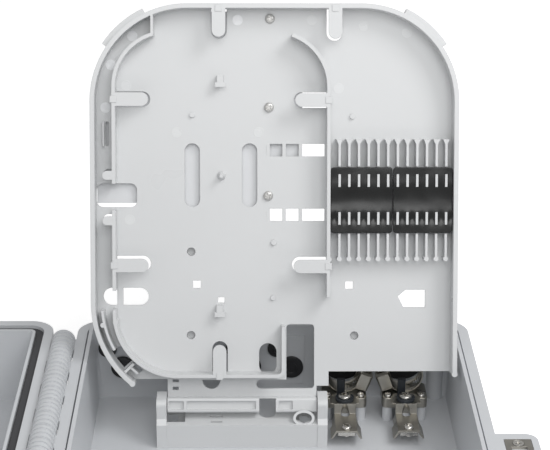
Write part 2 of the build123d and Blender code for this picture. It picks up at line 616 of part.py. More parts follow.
with BuildPart() as channel_nuts:
    with BuildSketch(Plane.XY.offset(channel_low_z)):
        with Locations(*channel_screws_at):
            RectangleRounded(nut_w, nut_l, nut_r)
            Circle(channel_screw_r, mode=Mode.SUBTRACT)
    extrude(amount=-nut_t)
channel_nuts.part.label = "channel_nuts"
export_step(channel_nuts.part, "parts/channel_nuts.step")

# ================================================================ hinge bracket for the tray
ear_left = plate_left - ear_side_gap - ear_t
ear_right = plate_right + ear_side_gap + ear_t
with BuildPart() as hinge_bracket:
    block((ear_left, ear_right), (bracket_front, bracket_back), (floor_t, bracket_top))
    for ear in (ear_left, ear_right - ear_t):
        with BuildSketch(Plane.YZ.offset(ear)):
            with BuildLine():
                Polyline((bracket_back, floor_t), (ear_foot_front, floor_t), (ear_foot_front, bracket_top),
                         (ear_front, ear_slope_top), (ear_front, ear_top), (bracket_back, ear_top), close=True)
            make_face()
            fillet(vertices().group_by(Axis.Y)[-1], ear_round)
        extrude(amount=ear_t)
    block((ear_left + ear_t, ear_right - ear_t), (bracket_front + bracket_wall, bracket_back),
          (floor_t, bracket_top - bracket_wall), Mode.SUBTRACT)
    for x in foot_spots:
        block((x - foot_w / 2, x + foot_w / 2), (bracket_back - overlap, bracket_back + foot_l),
              (floor_t, floor_t + foot_t))
        block((x - foot_w / 2, x + foot_w / 2), (bracket_back - bracket_wall, bracket_back),
              (floor_t, bracket_top))
    with BuildSketch(Plane.XY.offset(floor_t + foot_t)):
        with Locations(*[(x, bracket_back + foot_l / 2) for x in foot_spots]):
            Circle(foot_screw_r + hole_gap)
    extrude(amount=-foot_t, mode=Mode.SUBTRACT)
    # openings in the top
    for x_range, y_range in bracket_windows:
        block(x_range, y_range, (bracket_top - bracket_wall - 0.5, bracket_top + 1), Mode.SUBTRACT)
    with BuildSketch(Plane.XY.offset(bracket_top)):
        with Locations(catch_spot):
            Rectangle(catch_side, catch_side, rotation=45)
            with Locations((0, catch_side * 0.35)):
                Circle(catch_side * 0.62)
        with Locations((notch_x, bracket_back)):
            SlotOverall(2 * notch_l, notch_w, rotation=90)
    extrude(amount=-bracket_wall, mode=Mode.SUBTRACT)
    # catch loop, leaning back towards the beam
    loop_plane = Plane(
        origin=loop_spot,
        x_dir=(1, 0, 0),
        z_dir=(0, -sin(radians(loop_lean)), cos(radians(loop_lean))),
    )
    with BuildSketch(loop_plane):
        Ellipse(loop_half_w, loop_half_h)
        Ellipse(loop_half_w - loop_skin, loop_half_h - loop_skin, mode=Mode.SUBTRACT)
    extrude(amount=loop_t / 2, both=True)
    # bores for the tray's stubs
    with Locations(Location(((ear_left + ear_right) / 2, tray_axis_y, tray_axis_z), (0, 90, 0))):
        Cylinder(stub_r + stub_gap, ear_right - ear_left + 2, mode=Mode.SUBTRACT)
    # snap slots up from the ears' backs
    for ear in (ear_left, ear_right - ear_t):
        block((ear - 0.5, ear + ear_t + 0.5), (tray_axis_y, bracket_back + 1),
              (tray_axis_z - snap_h / 2, tray_axis_z + snap_h / 2), Mode.SUBTRACT)
hinge_bracket.part.label = "hinge_bracket"
export_step(hinge_bracket.part, "parts/hinge_bracket.step")

with BuildPart() as bracket_screws:
    screws([(x, bracket_back + foot_l / 2) for x in foot_spots], floor_t + foot_t, foot_screw_r - shank_gap,
           foot_screw_head_r, foot_screw_head_h, foot_t + foot_screw_bite - screw_end_gap)
bracket_screws.part.label = "bracket_screws"
export_step(bracket_screws.part, "parts/bracket_screws.step")


# ================================================================ splice tray
# Drawn in the tray's own plane: u to the right, v up from the hinge axis, heights out of the splice side.
def tray_sketch(height):
    """Plane at a height above the splice side of the tray's floor."""
    return tray_plane.offset(height)


def rim_line(inset):
    """The tray's outer wall line, set in by inset, drawn in the open line."""
    half, top = tray_half - inset, tray_top - inset
    shoulder = tray_top - tray_r
    CenterArc((heel_r - tray_half, heel_v), heel_r - inset, 180, heel_sweep)
    Line((-half, heel_v), (-half, shoulder))
    CenterArc((tray_r - tray_half, shoulder), tray_r - inset, 90, 90)
    Line((tray_r - tray_half, top), (tray_half - tray_r, top))
    CenterArc((tray_half - tray_r, shoulder), tray_r - inset, 0, 90)
    Line((half, shoulder), (half, tray_foot))


def wall(path, thickness, height, start=0.0):
    """Upright wall along the lines that path draws, standing on the tray's floor."""
    with BuildSketch(tray_sketch(start)) as footprint:
        with BuildLine():
            path()
        trace(line_width=thickness)
    extrude(footprint.sketch, amount=height - start)


def d_wall_line():
    """The D-shaped fiber wall: broken at the left slots, open at the top and at the lower right."""
    top_left = CenterArc((d_left + d_top_r, d_top_v), d_top_r, d_left_end, 180 - d_left_end)
    Line(top_left @ 1, (d_left, d_gap_high))
    Line((d_left, d_gap_low), (d_left, d_slot_high))
    Line((d_left, d_slot_low), (d_left, d_heel_v))
    heel = CenterArc((d_left + d_heel_r, d_heel_v), d_heel_r, 180, 90)
    Line(heel @ 1, (d_toe_u - d_toe_r, d_bottom_line))
    toe_arc = CenterArc((d_toe_u - d_toe_r, d_bottom_line + d_toe_r), d_toe_r, 270, 90)
    Line(toe_arc @ 1, (d_toe_u, d_toe_v))
    CenterArc((d_right - d_top_r, d_top_v), d_top_r, 0, d_right_sweep)
    Line((d_right, d_top_v), (d_right, d_right_end))


def arc_point(radius, angle):
    """A point in the heel channel, from the heel's centre."""
    return (heel_r - tray_half + radius * cos(radians(angle)), heel_v + radius * sin(radians(angle)))


def arc_window(inner, outer, start, sweep):
    """Ring-shaped patch of the heel channel, in the open sketch."""
    centre = (heel_r - tray_half, heel_v)
    with BuildSketch(tray_sketch(0)) as patch:
        with BuildLine():
            low = CenterArc(centre, inner, start, sweep)
            high = CenterArc(centre, outer, start, sweep)
            Line(low @ 0, high @ 0)
            Line(low @ 1, high @ 1)
        make_face()
    return patch.sketch


def tab_shape(root, turn, reach, width):
    """Tongue from a wall at root, turned by turn degrees from +u, in the tray's plane."""
    straight = reach - width / 2
    with BuildSketch(tray_sketch(0)) as shape:
        with Locations(Location((root[0], root[1], 0), (0, 0, turn))):
            Rectangle(straight, width, align=(Align.MIN, Align.CENTER))
        with Locations((root[0] + straight * cos(radians(turn)), root[1] + straight * sin(radians(turn)))):
            Circle(width / 2)
    return shape.sketch


d_bottom_line = d_heel_v - d_heel_r
rail_top = tray_top - tray_wall_t
# root of each tab on its wall, the way it points, its reach and its width
tabs = [
    ((d_left, 158.8), 0, 17.7, tab_w),
    ((d_left, 73.6), 0, 17.7, tab_w),
    ((d_right, 158.4), 180, 17.2, tab_w),
    ((d_right, 73.0), 180, 18.0, tab_w),
    ((-28.6, rail_top), 270, rail_top - top_tab_tips[0], tab_w),
    ((31.0, rail_top), 270, rail_top - top_tab_tips[1], tab_w),
    ((-28.3, d_bottom_line), 90, low_tab_tip - d_bottom_line, tab_w),
    ((d_left, 119.9), 180, 5.8, tongue_w),
    ((d_left, 96.6), 180, 5.8, tongue_w),
]

with BuildPart(tray_plane) as splice_tray:
    # floor and hinge plate
    with BuildSketch(tray_sketch(0)):
        with BuildLine():
            rim_line(0)
            heel_end = arc_point(heel_r, 180 + heel_sweep)
            Polyline((tray_half, tray_foot), (shoulder_right, tray_foot), (shoulder_right, shoulder_v),
                     (plate_right, shoulder_v), (plate_right, 0), (plate_left, 0), (plate_left, skirt_v),
                     (heel_end[0] + 1.5, skirt_v), heel_end)
        make_face()
    extrude(amount=-tray_floor_t)
    # outer wall, heel's end, finger lugs
    wall(lambda: rim_line(tray_wall_t / 2), tray_wall_t, tray_wall_h, -tray_floor_t)
    with BuildSketch(tray_sketch(-tray_floor_t)):
        with Locations(arc_point(heel_r - tray_wall_t / 2, 180 + heel_sweep),
                       (tray_half - tray_wall_t / 2, tray_foot)):
            Circle(wall_end_r)
    extrude(amount=tray_wall_h + tray_floor_t)
    for middle in lug_angles:
        centre = ((tray_half - tray_r) * (1 if middle < 90 else -1), tray_top - tray_r)
        with BuildSketch(tray_sketch(lug_low)):
            with BuildLine():
                CenterArc(centre, tray_r + lug_out / 2 - 0.5, middle - lug_sweep / 2, lug_sweep)
            trace(line_width=lug_out + 1)
        extrude(amount=lug_high - lug_low)
    # fiber wall, its inner bank and the rib above it
    wall(d_wall_line, d_wall_t, tray_wall_h)
    wall(lambda: Line((fence_u, fence_low), (fence_u, fence_high)), fence_t, tray_wall_h)
    # heel channel: divider with its bulb, posts at the outlet
    divider_from, divider_to = divider_angles
    wall(lambda: CenterArc((heel_r - tray_half, heel_v), divider_r, divider_from, divider_to - divider_from),
         fence_t, tray_wall_h)
    with BuildSketch(tray_sketch(0)):
        with Locations(arc_point(divider_r + 0.9, 193), (d_left + 0.5, d_heel_v - 4.5),
                       (d_right + 0.3, rib_low)):
            Circle(rib_bulb_r)
    extrude(amount=tray_wall_h)
    for radius, angle, length, width in outlet_posts:
        spot = arc_point(radius, angle)
        with BuildSketch(tray_sketch(0)):
            with Locations(Location((spot[0], spot[1], 0), (0, 0, angle))):
                Rectangle(width, length)
        extrude(amount=outlet_post_h)
    # hinge beam and stubs
    with BuildSketch(Plane.YZ.offset(plate_left)) as beam_side:
        with Locations(Location((tray_axis_y, tray_axis_z, 0), (0, 0, 90 - tray_lean))):
            with Locations(((beam_low + beam_high) / 2, (beam_back + beam_front) / 2)):
                RectangleRounded(beam_high - beam_low, beam_front - beam_back, 1.4)
    extrude(amount=plate_right - plate_left)
    with Locations(Location(((plate_left + plate_right) / 2, 0, 0), (0, 90, 0))):
        Cylinder(stub_r, plate_right - plate_left + 2 * (ear_side_gap + ear_t))
    # frames sunk into the beam's front, notch right through it
    for u_low, u_high in beam_frames:
        with BuildSketch(tray_sketch(beam_front)):
            with Locations(((u_low + u_high) / 2, (beam_low + beam_high) / 2)):
                RectangleRounded(u_high - u_low, beam_high - beam_low - 3.4, 0.6)
        extrude(amount=-beam_frame_d, mode=Mode.SUBTRACT)
    with BuildSketch(tray_sketch(beam_front + 1)):
        with Locations(((beam_notch[0] + beam_notch[1]) / 2, beam_low)):
            Rectangle(beam_notch[1] - beam_notch[0], 2 * (beam_high - beam_low) - 0.8)
    extrude(amount=-(beam_front - beam_back + 2), mode=Mode.SUBTRACT)
    # splice ribs: bulb at the foot, flare at the head, lower under the pads but for the tops in their slots
    with BuildSketch(tray_sketch(0)):
        with Locations(*[(u, rib_low) for u in rib_spots]):
            Circle(rib_bulb_r)
            Rectangle(rib_t, pad_low - pad_end_gap - rib_low, align=(Align.CENTER, Align.MIN))
        with Locations(*[(u, rib_high) for u in rib_spots]):
            Polygon((-rib_flare_w / 2, 0), (rib_flare_w / 2, 0), (0, -rib_flare_l), align=None)
            Rectangle(rib_t, rib_high - pad_high - pad_end_gap, align=(Align.CENTER, Align.MAX))
    extrude(amount=rib_h)
    with BuildSketch(tray_sketch(0)):
        with Locations(*[(u, (pad_low + pad_high) / 2) for u in rib_spots]):
            Rectangle(rib_t, pad_high - pad_low + 2 * pad_end_gap)
    extrude(amount=pad_rise)
    with BuildSketch(tray_sketch(0)):
        with Locations(*[(u, v) for u in rib_spots for v in (pad_row_high, pad_row_low)]):
            Rectangle(rib_t, pad_slot_l - 2 * pad_slot_gap)
    extrude(amount=pad_rise + pad_t + rib_top_proud)
    # retaining tabs and the blocks that carry them
    for root, turn, reach, width in tabs:
        extrude(tab_shape(root, turn, reach, width).moved(Location(tray_plane.z_dir * (tray_wall_h - tab_t))),
                amount=tab_t)
    with BuildSketch(tray_sketch(0)):
        with Locations(*[tab[0] for tab in tabs[:7]]):
            Rectangle(tab_block, tab_block)
    extrude(amount=tray_wall_h + 0.3)
    # pegs, hooks and small studs on the floor
    with BuildSketch(tray_sketch(0)):
        with Locations(cone_spot):
            Circle(cone_r)
    extrude(amount=cone_h, taper=14)
    for u, v in hook_spots:
        with BuildSketch(tray_sketch(0)):
            with Locations((u, v)):
                Rectangle(hook_w, hook_l)
        extrude(amount=hook_h)
        with BuildSketch(tray_sketch(hook_h - 1.2)):
            with Locations((u, v - hook_l / 2 - 0.6)):
                Rectangle(hook_w + 2.0, hook_l * 0.6)
        extrude(amount=1.2)
    with BuildSketch(tray_sketch(0)):
        with Locations(*stud_spots):
            Circle(stud_r)
    extrude(amount=stud_h)
    wall(lambda: Line((loop_u, loop_low), (loop_u, loop_high)), 1.0, loop_h)
    # bosses behind the floor for the adapter panel's screws
    with BuildSketch(tray_sketch(-tray_floor_t)):
        with Locations(*tray_screw_spots):
            Circle(panel_boss_r)
    extrude(amount=-panel_stand)
    # blind cups, open on the tray's front
    with BuildSketch(tray_sketch(0)):
        with Locations(*cup_spots):
            Circle(cup_r + cup_wall)
    extrude(amount=-cup_depth)
    with BuildSketch(tray_sketch(0)):
        with Locations(*cup_spots):
            Circle(cup_r)
    extrude(amount=cup_bottom - cup_depth, mode=Mode.SUBTRACT)

    # holes through the floor: under every tab, then the slots and windows
    for root, turn, reach, width in tabs:
        extrude(tab_shape(root, turn, reach + tab_hole_gap, width + 2 * tab_hole_gap), amount=-tray_floor_t,
                mode=Mode.SUBTRACT)
    with BuildSketch(tray_sketch(0)) as openings:
        for u, v, width, height, radius in tray_windows:
            with Locations((u, v)):
                RectangleRounded(width, height, radius)
        for u, v, length, width, turn in tray_slots:
            with Locations((u, v)):
                SlotOverall(length, width, rotation=turn)
        with Locations((arch_u, arch_v)):
            Circle(arch_r)
            Rectangle(3 * arch_r, 2 * arch_r, align=(Align.CENTER, Align.MIN), mode=Mode.SUBTRACT)
        with BuildLine():
            Polyline((nose_right, nose_high), (nose_right, nose_low), (nose_left + 3, nose_low),
                     (nose_left, (nose_low + nose_high) / 2 + 1.2), (nose_left + 4, nose_high), close=True)
        make_face()
    extrude(amount=-tray_floor_t, mode=Mode.SUBTRACT)
    for inner, outer, start, sweep in outlet_windows:
        extrude(arc_window(inner, outer, start, sweep), amount=-tray_floor_t, mode=Mode.SUBTRACT)
    # bars left standing across the windows
    with BuildSketch(tray_sketch(0)):
        with Locations(*[(u, v) for u in window_bars for v in window_rows]):
            Rectangle(window_bar_w, window_h)
        with Locations((slot_bar_u, slot_bar_v)):
            Rectangle(slot_bar_w, slot_bar_h)
    extrude(amount=-tray_floor_t)
    # screw holes
    with BuildSketch(tray_sketch(0)):
        with Locations(*tray_screw_spots):
            Circle(tray_screw_r + hole_gap)
    extrude(amount=-(tray_floor_t + panel_stand), mode=Mode.SUBTRACT)
splice_tray.part.label = "splice_tray"
export_step(splice_tray.part, "parts/splice_tray.step")

# ================================================================ rubber pads over the splice ribs
pad_middle = rib_first + (rib_count / 2 - 0.5) * rib_pitch
pad_spans = {
    "left": (d_right + d_wall_t / 2 + pad_side_gap, pad_middle - pad_split / 2),
    "right": (pad_middle + pad_split / 2, tray_half - tray_wall_t - pad_side_gap),
}
pad_ribs = {"left": rib_spots[: rib_count // 2], "right": rib_spots[rib_count // 2 :]}
for side, (u_low, u_high) in pad_spans.items():
    with BuildPart(tray_plane) as retainer:
        with BuildSketch(tray_sketch(pad_rise)):
            with Locations(((u_low + u_high) / 2, (pad_low + pad_high) / 2)):
                RectangleRounded(u_high - u_low, pad_high - pad_low, pad_corner)
        extrude(amount=pad_t)
        # slots for the rib tops
        with BuildSketch(tray_sketch(pad_rise)):
            with Locations(*[(u, v) for u in pad_ribs[side] for v in (pad_row_high, pad_row_low)]):
                Rectangle(rib_t + 2 * pad_slot_gap, pad_slot_l)
        extrude(amount=pad_t, mode=Mode.SUBTRACT)
    retainer.part.label = f"sleeve_retainer_{side}"
    export_step(retainer.part, f"parts/sleeve_retainer_{side}.step")

# ============================================================ adapter panel, its screws, adapters and caps
panel_face = -(tray_floor_t + panel_stand)        # the side that meets the bosses
panel_back = panel_face - panel_t
shelf_high = panel_shelf_v + panel_t / 2
adapter_height = panel_back - panel_shelf_h / 2   # middle of the adapters, behind the tray
row_middle = (panel_left + panel_right) / 2
adapter_us = [row_middle + (i - (adapter_count - 1) / 2) * adapter_pitch for i in range(adapter_count)]

with BuildPart(tray_plane) as adapter_panel:
    with BuildSketch(tray_sketch(panel_face)):
        with Locations(((panel_left + panel_right) / 2, (panel_low + panel_high) / 2)):
            Rectangle(panel_right - panel_left, panel_high - panel_low)
        fillet(vertices().sort_by(Axis.Y)[-2:].sort_by(Axis.X)[0], panel_tray_r)
        fillet(vertices().sort_by(Axis.X)[-2:], panel_corner)
        with Locations((panel_step_u, panel_step_v)):
            Rectangle(panel_step_u - panel_left + 1, panel_step_v - panel_low + 1,
                      align=(Align.MAX, Align.MAX),
                      mode=Mode.SUBTRACT)
    extrude(amount=-panel_t)
    with BuildSketch(tray_sketch(panel_back)):
        with Locations((row_middle, panel_shelf_v)):
            Rectangle(panel_right - panel_left - 2, panel_t)
    extrude(amount=-panel_shelf_h)
    with BuildSketch(tray_sketch(panel_back)):
        for edge_from, edge_to, v in ((panel_left, panel_step_u, panel_step_v + panel_t / 2),
                                      (panel_step_u, panel_right, panel_low + panel_t / 2),
                                      (panel_left + panel_tray_r, panel_right, panel_high - panel_t / 2)):
            with Locations((edge_from, v)):
                Rectangle(edge_to - edge_from, panel_t, align=(Align.MIN, Align.CENTER))
        with Locations((panel_step_u, panel_low)):
            Rectangle(panel_t, panel_step_v - panel_low + panel_t, align=(Align.MIN, Align.MIN))
    extrude(amount=-panel_edge_h)
    for u in adapter_us:
        with Locations((u, panel_shelf_v, adapter_height)):
            Box(adapter_w + 2 * adapter_gap, 2 * panel_t, adapter_body + 2 * adapter_gap, mode=Mode.SUBTRACT)
    with BuildSketch(tray_sketch(panel_back)):
        with Locations(*tray_screw_spots):
            Circle(tray_screw_r + panel_nut_wall)
    extrude(amount=-panel_nut_h)
    with BuildSketch(tray_sketch(panel_face)):
        with Locations(*tray_screw_spots):
            Circle(tray_screw_r)
    extrude(amount=-(panel_t + panel_nut_h), mode=Mode.SUBTRACT)
adapter_panel.part.label = "adapter_panel"
export_step(adapter_panel.part, "parts/adapter_panel.step")

with BuildPart(tray_plane) as tray_screws:
    with BuildSketch(tray_sketch(0)):
        with Locations(*tray_screw_spots):
            Circle(tray_screw_head_r)
    extrude(amount=tray_screw_head_h)
    with BuildSketch(tray_sketch(0)):
        with Locations(*tray_screw_spots):
            Circle(tray_screw_r - shank_gap)
    extrude(amount=-(tray_floor_t + panel_stand + panel_t + 2.0))
    with BuildSketch(tray_sketch(tray_screw_head_h)):
        with Locations(*tray_screw_spots):
            Rectangle(tray_screw_head_r * cross_l, tray_screw_head_r * cross_w)
            Rectangle(tray_screw_head_r * cross_w, tray_screw_head_r * cross_l)
    extrude(amount=-tray_screw_head_h * cross_d, mode=Mode.SUBTRACT)
tray_screws.part.label = "tray_screws"
export_step(tray_screws.part, "parts/tray_screws.step")

with BuildPart(tray_plane) as sc_adapters:
    for u in adapter_us:
        with Locations((u, panel_shelf_v, adapter_height)):
            Box(adapter_w, adapter_l, adapter_body)
        with Locations((u, shelf_high + adapter_flange_t / 2, adapter_height)):
            Box(adapter_w, adapter_flange_t, adapter_h)
        for end in (-1, 1):
            with Locations((u, panel_shelf_v + end * (adapter_l - adapter_bore_l) / 2, adapter_height)):
                Box(adapter_w - 2 * adapter_wall, adapter_bore_l, adapter_body - 2 * adapter_wall,
                    mode=Mode.SUBTRACT)
sc_adapters.part.label = "sc_adapters"
export_step(sc_adapters.part, "parts/sc_adapters.step")

with BuildPart(tray_plane) as adapter_caps:
    for u in adapter_us:
        for end in (-1, 1):
            mouth = panel_shelf_v + end * adapter_l / 2
            with Locations((u, mouth + end * cap_l / 2, adapter_height)):
                Box(adapter_w - cap_inset, cap_l, adapter_body - cap_inset)
            with Locations((u, mouth - end * cap_plug_l / 2, adapter_height)):
                Box(adapter_w - 2 * adapter_wall - 2 * adapter_gap, cap_plug_l,
                    adapter_body - 2 * adapter_wall - 2 * adapter_gap)
adapter_caps.part.label = "adapter_caps"
export_step(adapter_caps.part, "parts/adapter_caps.step")

# ================================================================ lid, open and flat beside the base
lid_x = 2 * hinge_x                               # middle of the open lid
lid_plane = Plane(origin=(lid_x, 0, 0))
channel_out = rim_w + groove_w + lip_w / 2 - channel_w / 2
channel_in = channel_out + channel_w
lid_in = channel_in + lid_tongue_w
lock_open_x = lid_x - rim_x - lock_out            # lock axis while the lid is open

with BuildPart() as lid:
    with BuildSketch(lid_plane.offset(shell_depth - lid_rim_t)):
        shell_outline(lid_in - wall_t)
    extrude(amount=-(shell_depth - lid_rim_t), taper=draft)
    fillet(faces().sort_by(Axis.Z)[0].edges(), lid_edge_r)
    with BuildSketch(lid_plane.offset(shell_depth - lid_rim_t)):
        shell_outline(0)
    extrude(amount=lid_rim_t)
    with BuildSketch(Plane.XY.offset(shell_depth - lock_boss_h)):
        with Locations((lid_x - rim_x, lock_y)):
            Rectangle(2 * ear_out, ear_l)
        fillet(vertices().group_by(Axis.X)[0], lock_ear_r)
    extrude(amount=lock_boss_h)
    with BuildSketch(lid_plane.offset(shell_depth)):
        shell_outline(lid_in)
    extrude(amount=-(shell_depth - floor_t), taper=draft, mode=Mode.SUBTRACT)
    with BuildSketch(lid_plane.offset(shell_depth)):
        shell_outline(channel_out)
        with BuildSketch(mode=Mode.PRIVATE) as inner_channel:
            shell_outline(channel_in)
        add(inner_channel.sketch, mode=Mode.SUBTRACT)
    extrude(amount=-channel_d, mode=Mode.SUBTRACT)
    # stiffening ribs inside
    with BuildSketch(lid_plane.offset(floor_t - overlap)):
        with Locations(*[(0, y) for y in lid_rib_ys]):
            Rectangle(box_w - 2 * lid_in - 6, lid_rib_t)
        with Locations(*[(x, 0) for x in lid_rib_xs]):
            Rectangle(lid_rib_t, lid_rib_ys[-1] - lid_rib_ys[0])
    extrude(amount=lid_rib_h + overlap)
    # lock seat: bore through the end wall, pocket for the nut
    with BuildSketch(Plane.XY.offset(shell_depth - lock_boss_h)):
        with Locations((lock_open_x, lock_y)):
            Circle(lock_r + lock_gap)
    extrude(amount=lock_boss_h, mode=Mode.SUBTRACT)
    with BuildSketch(Plane.XY.offset(shell_depth - lock_boss_h + lock_seat_t)):
        with Locations((lock_open_x, lock_y)):
            Circle(lock_pocket_r)
    extrude(amount=lock_boss_h - lock_seat_t, mode=Mode.SUBTRACT)
    add_knuckles(1, lid_x + rim_x - 1, pin_r + pin_run_gap)
lid.part.label = "lid"
export_step(lid.part, "parts/lid.step")

with BuildPart() as lid_seal:
    with BuildSketch(lid_plane.offset(shell_depth - channel_d)):
        shell_outline(channel_out + seal_side_gap)
        with BuildSketch(mode=Mode.PRIVATE) as inner_seal:
            shell_outline(channel_in - seal_side_gap)
        add(inner_seal.sketch, mode=Mode.SUBTRACT)
    extrude(amount=channel_d - lip_h - seal_lip_gap)
lid_seal.part.label = "lid_seal"
export_step(lid_seal.part, "parts/lid_seal.step")

with BuildPart() as lid_hinge_pin:
    rod_along_y(pin_r, hinge_x, shell_depth, hinge_far_y + knuckle_gap / 2, hinge_end_y)
    rod_along_y(pin_head_r, hinge_x, shell_depth, hinge_end_y - knuckle_gap / 2 + pin_head_seat,
                hinge_end_y + pin_head_t)
lid_hinge_pin.part.label = "lid_hinge_pin"
export_step(lid_hinge_pin.part, "parts/lid_hinge_pin.step")

# ================================================================ lock and keeper
lock_face_z = shell_depth - lock_boss_h           # outer end of the lid's ear while the lid is open
cam_low = shell_depth + cam_drop
with BuildPart() as lock_cylinder:
    with BuildSketch(Plane.XY.offset(lock_face_z - lock_head_t)):
        with Locations((lock_open_x, lock_y)):
            Circle(lock_head_r)
    extrude(amount=lock_head_t)
    chamfer(edges().group_by(Axis.Z)[0], 0.6)
    with BuildSketch(Plane.XY.offset(lock_face_z)):
        with Locations((lock_open_x, lock_y)):
            Circle(lock_r)
    extrude(amount=lock_seat_t + lock_nut_t + cylinder_past_nut)
    with BuildSketch(Plane.XY.offset(lock_face_z)):
        with Locations((lock_open_x, lock_y)):
            Circle(spindle_r)
    extrude(amount=cam_low + cam_t - lock_face_z)
    with BuildSketch(Plane.XY.offset(lock_face_z - lock_head_t)):
        with Locations((lock_open_x, lock_y)):
            RegularPolygon(key_side, 3)
    extrude(amount=key_depth, mode=Mode.SUBTRACT)
    with BuildSketch(Plane.XY.offset(cam_low + cam_t)):
        with Locations((lock_open_x, lock_y)):
            Circle(cam_screw_r)
    extrude(amount=-cam_screw_l, mode=Mode.SUBTRACT)
lock_cylinder.part.label = "lock_cylinder"
export_step(lock_cylinder.part, "parts/lock_cylinder.step")

with BuildPart() as lock_cam:
    with BuildSketch(Plane.XY.offset(cam_low)):
        with Locations((lock_open_x, lock_y)):
            SlotOverall(cam_l, cam_w, rotation=90)
            Circle(spindle_r + hole_gap / 2, mode=Mode.SUBTRACT)
    extrude(amount=cam_t)
lock_cam.part.label = "lock_cam"
export_step(lock_cam.part, "parts/lock_cam.step")

with BuildPart() as cam_screw:
    screws([(lock_open_x, lock_y)], cam_low + cam_t, cam_screw_r - shank_gap,
           spindle_r + cam_head_rim, cam_head_h, cam_screw_l - screw_end_gap)
cam_screw.part.label = "cam_screw"
export_step(cam_screw.part, "parts/cam_screw.step")

with BuildPart() as lock_nut:
    with BuildSketch(Plane.XY.offset(lock_face_z + lock_seat_t)):
        with Locations((lock_open_x, lock_y)):
            RegularPolygon(lock_nut_side / 2, 6, major_radius=False)
            Circle(lock_r + lock_gap, mode=Mode.SUBTRACT)
    extrude(amount=lock_nut_t)
lock_nut.part.label = "lock_nut"
export_step(lock_nut.part, "parts/lock_nut.step")

with BuildPart() as lock_keeper:
    with BuildSketch(Plane.XY.offset(shell_depth - keeper_t)):
        with Locations((lock_x, lock_y)):
            RectangleRounded(keeper_w, keeper_l, 1.0)
            Rectangle(cam_w + 2 * cam_slot_gap, cam_l + 2 * cam_slot_gap, mode=Mode.SUBTRACT)
        with Locations(*keeper_screws_at):
            Circle(keeper_screw_r + hole_gap, mode=Mode.SUBTRACT)
    extrude(amount=keeper_t)
    with Locations(*[(x, y, shell_depth - keeper_t / 2) for x, y in keeper_screws_at]):
        Cone(keeper_screw_r + hole_gap, keeper_cone_r + hole_gap, keeper_t, mode=Mode.SUBTRACT)
lock_keeper.part.label = "lock_keeper"
export_step(lock_keeper.part, "parts/lock_keeper.step")

with BuildPart() as keeper_screws:
    with Locations(*[(x, y, shell_depth - keeper_t / 2) for x, y in keeper_screws_at]):
        Cone(keeper_screw_r - shank_gap, keeper_cone_r, keeper_t)
    with BuildSketch(Plane.XY.offset(shell_depth - keeper_t)):
        with Locations(*keeper_screws_at):
            Circle(keeper_screw_r - shank_gap)
    extrude(amount=-(lock_ear_t - keeper_t - screw_end_gap))
    with BuildSketch(Plane.XY.offset(shell_depth)):
        with Locations(*keeper_screws_at):
            Rectangle(keeper_cone_r * cross_l, keeper_cone_r * cross_w)
            Rectangle(keeper_cone_r * cross_w, keeper_cone_r * cross_l)
    extrude(amount=-keeper_t * cross_d, mode=Mode.SUBTRACT)
keeper_screws.part.label = "keeper_screws"
export_step(keeper_screws.part, "parts/keeper_screws.step")
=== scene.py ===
# %% [markdown]
# # A wall-mount fiber termination box
#
# The box lies open on its back: base, flip-up splice tray, cable clamps, and the lid folded out flat beside
# it. The engineering model is loaded as a fixed frame. It holds every shape and every moving body. This
# script gives each shape its finish, swaps small fasteners and rubber goods for finer ones, and sets up
# camera and light.

# %% Load the frame
import json
from math import cos, exp, pi, radians, sin

import bmesh
import bpy
from mathutils import Matrix, Vector, noise


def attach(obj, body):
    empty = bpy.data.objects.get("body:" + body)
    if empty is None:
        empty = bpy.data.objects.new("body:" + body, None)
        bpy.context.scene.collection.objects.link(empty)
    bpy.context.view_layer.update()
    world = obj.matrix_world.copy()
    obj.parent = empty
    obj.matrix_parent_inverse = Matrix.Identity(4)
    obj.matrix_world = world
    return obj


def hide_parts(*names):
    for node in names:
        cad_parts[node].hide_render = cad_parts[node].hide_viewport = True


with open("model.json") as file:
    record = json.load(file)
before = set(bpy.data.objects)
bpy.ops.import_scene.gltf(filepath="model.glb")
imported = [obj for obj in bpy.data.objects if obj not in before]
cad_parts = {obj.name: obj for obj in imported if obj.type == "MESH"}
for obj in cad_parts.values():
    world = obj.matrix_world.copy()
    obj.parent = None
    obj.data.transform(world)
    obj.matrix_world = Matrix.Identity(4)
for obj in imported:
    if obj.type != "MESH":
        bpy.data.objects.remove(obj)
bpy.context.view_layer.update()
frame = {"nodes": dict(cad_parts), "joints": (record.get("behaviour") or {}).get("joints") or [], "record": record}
MM = 0.001

# %% [markdown]
# ## Camera
# The box is looked at from the head end, from above the rim and well back, with a long lens, so that the
# raised tray is seen almost square on. Placing the camera by a target, an elevation and a distance keeps
# those three choices apart, where typing in a matrix would mix them.

# %% Camera
target = Vector((0.25, 110, 115.3)) * MM
camera_turn, camera_height, camera_roll = radians(-1.02), radians(24.0), radians(0.38)
camera_distance, lens, view_depth = 840 * MM, 106.9, 20
sight = Vector((-sin(camera_turn) * cos(camera_height), cos(camera_turn) * cos(camera_height),
                -sin(camera_height)))
rolled = sight.to_track_quat("-Z", "Y").to_matrix() @ Matrix.Rotation(camera_roll, 3, "Z")
camera = bpy.data.objects.new("camera", bpy.data.cameras.new("camera"))
bpy.context.scene.collection.objects.link(camera)
camera.data.lens = lens
camera.data.clip_end = view_depth
camera.location = target - sight * camera_distance
camera.rotation_euler = rolled.to_euler()
bpy.context.scene.camera = camera
print("camera stands at, in mm:", [round(v / MM) for v in camera.location])

# %% [markdown]
# ## Floor and light
# A product table: one pale floor, a wide soft lamp above and in front, a second one closer on the right,
# and an even world that fills the shadows. Large lamps give the soft shadows of a light tent. The floor is
# a plain diffuse surface, so it keeps the shadow of the object.

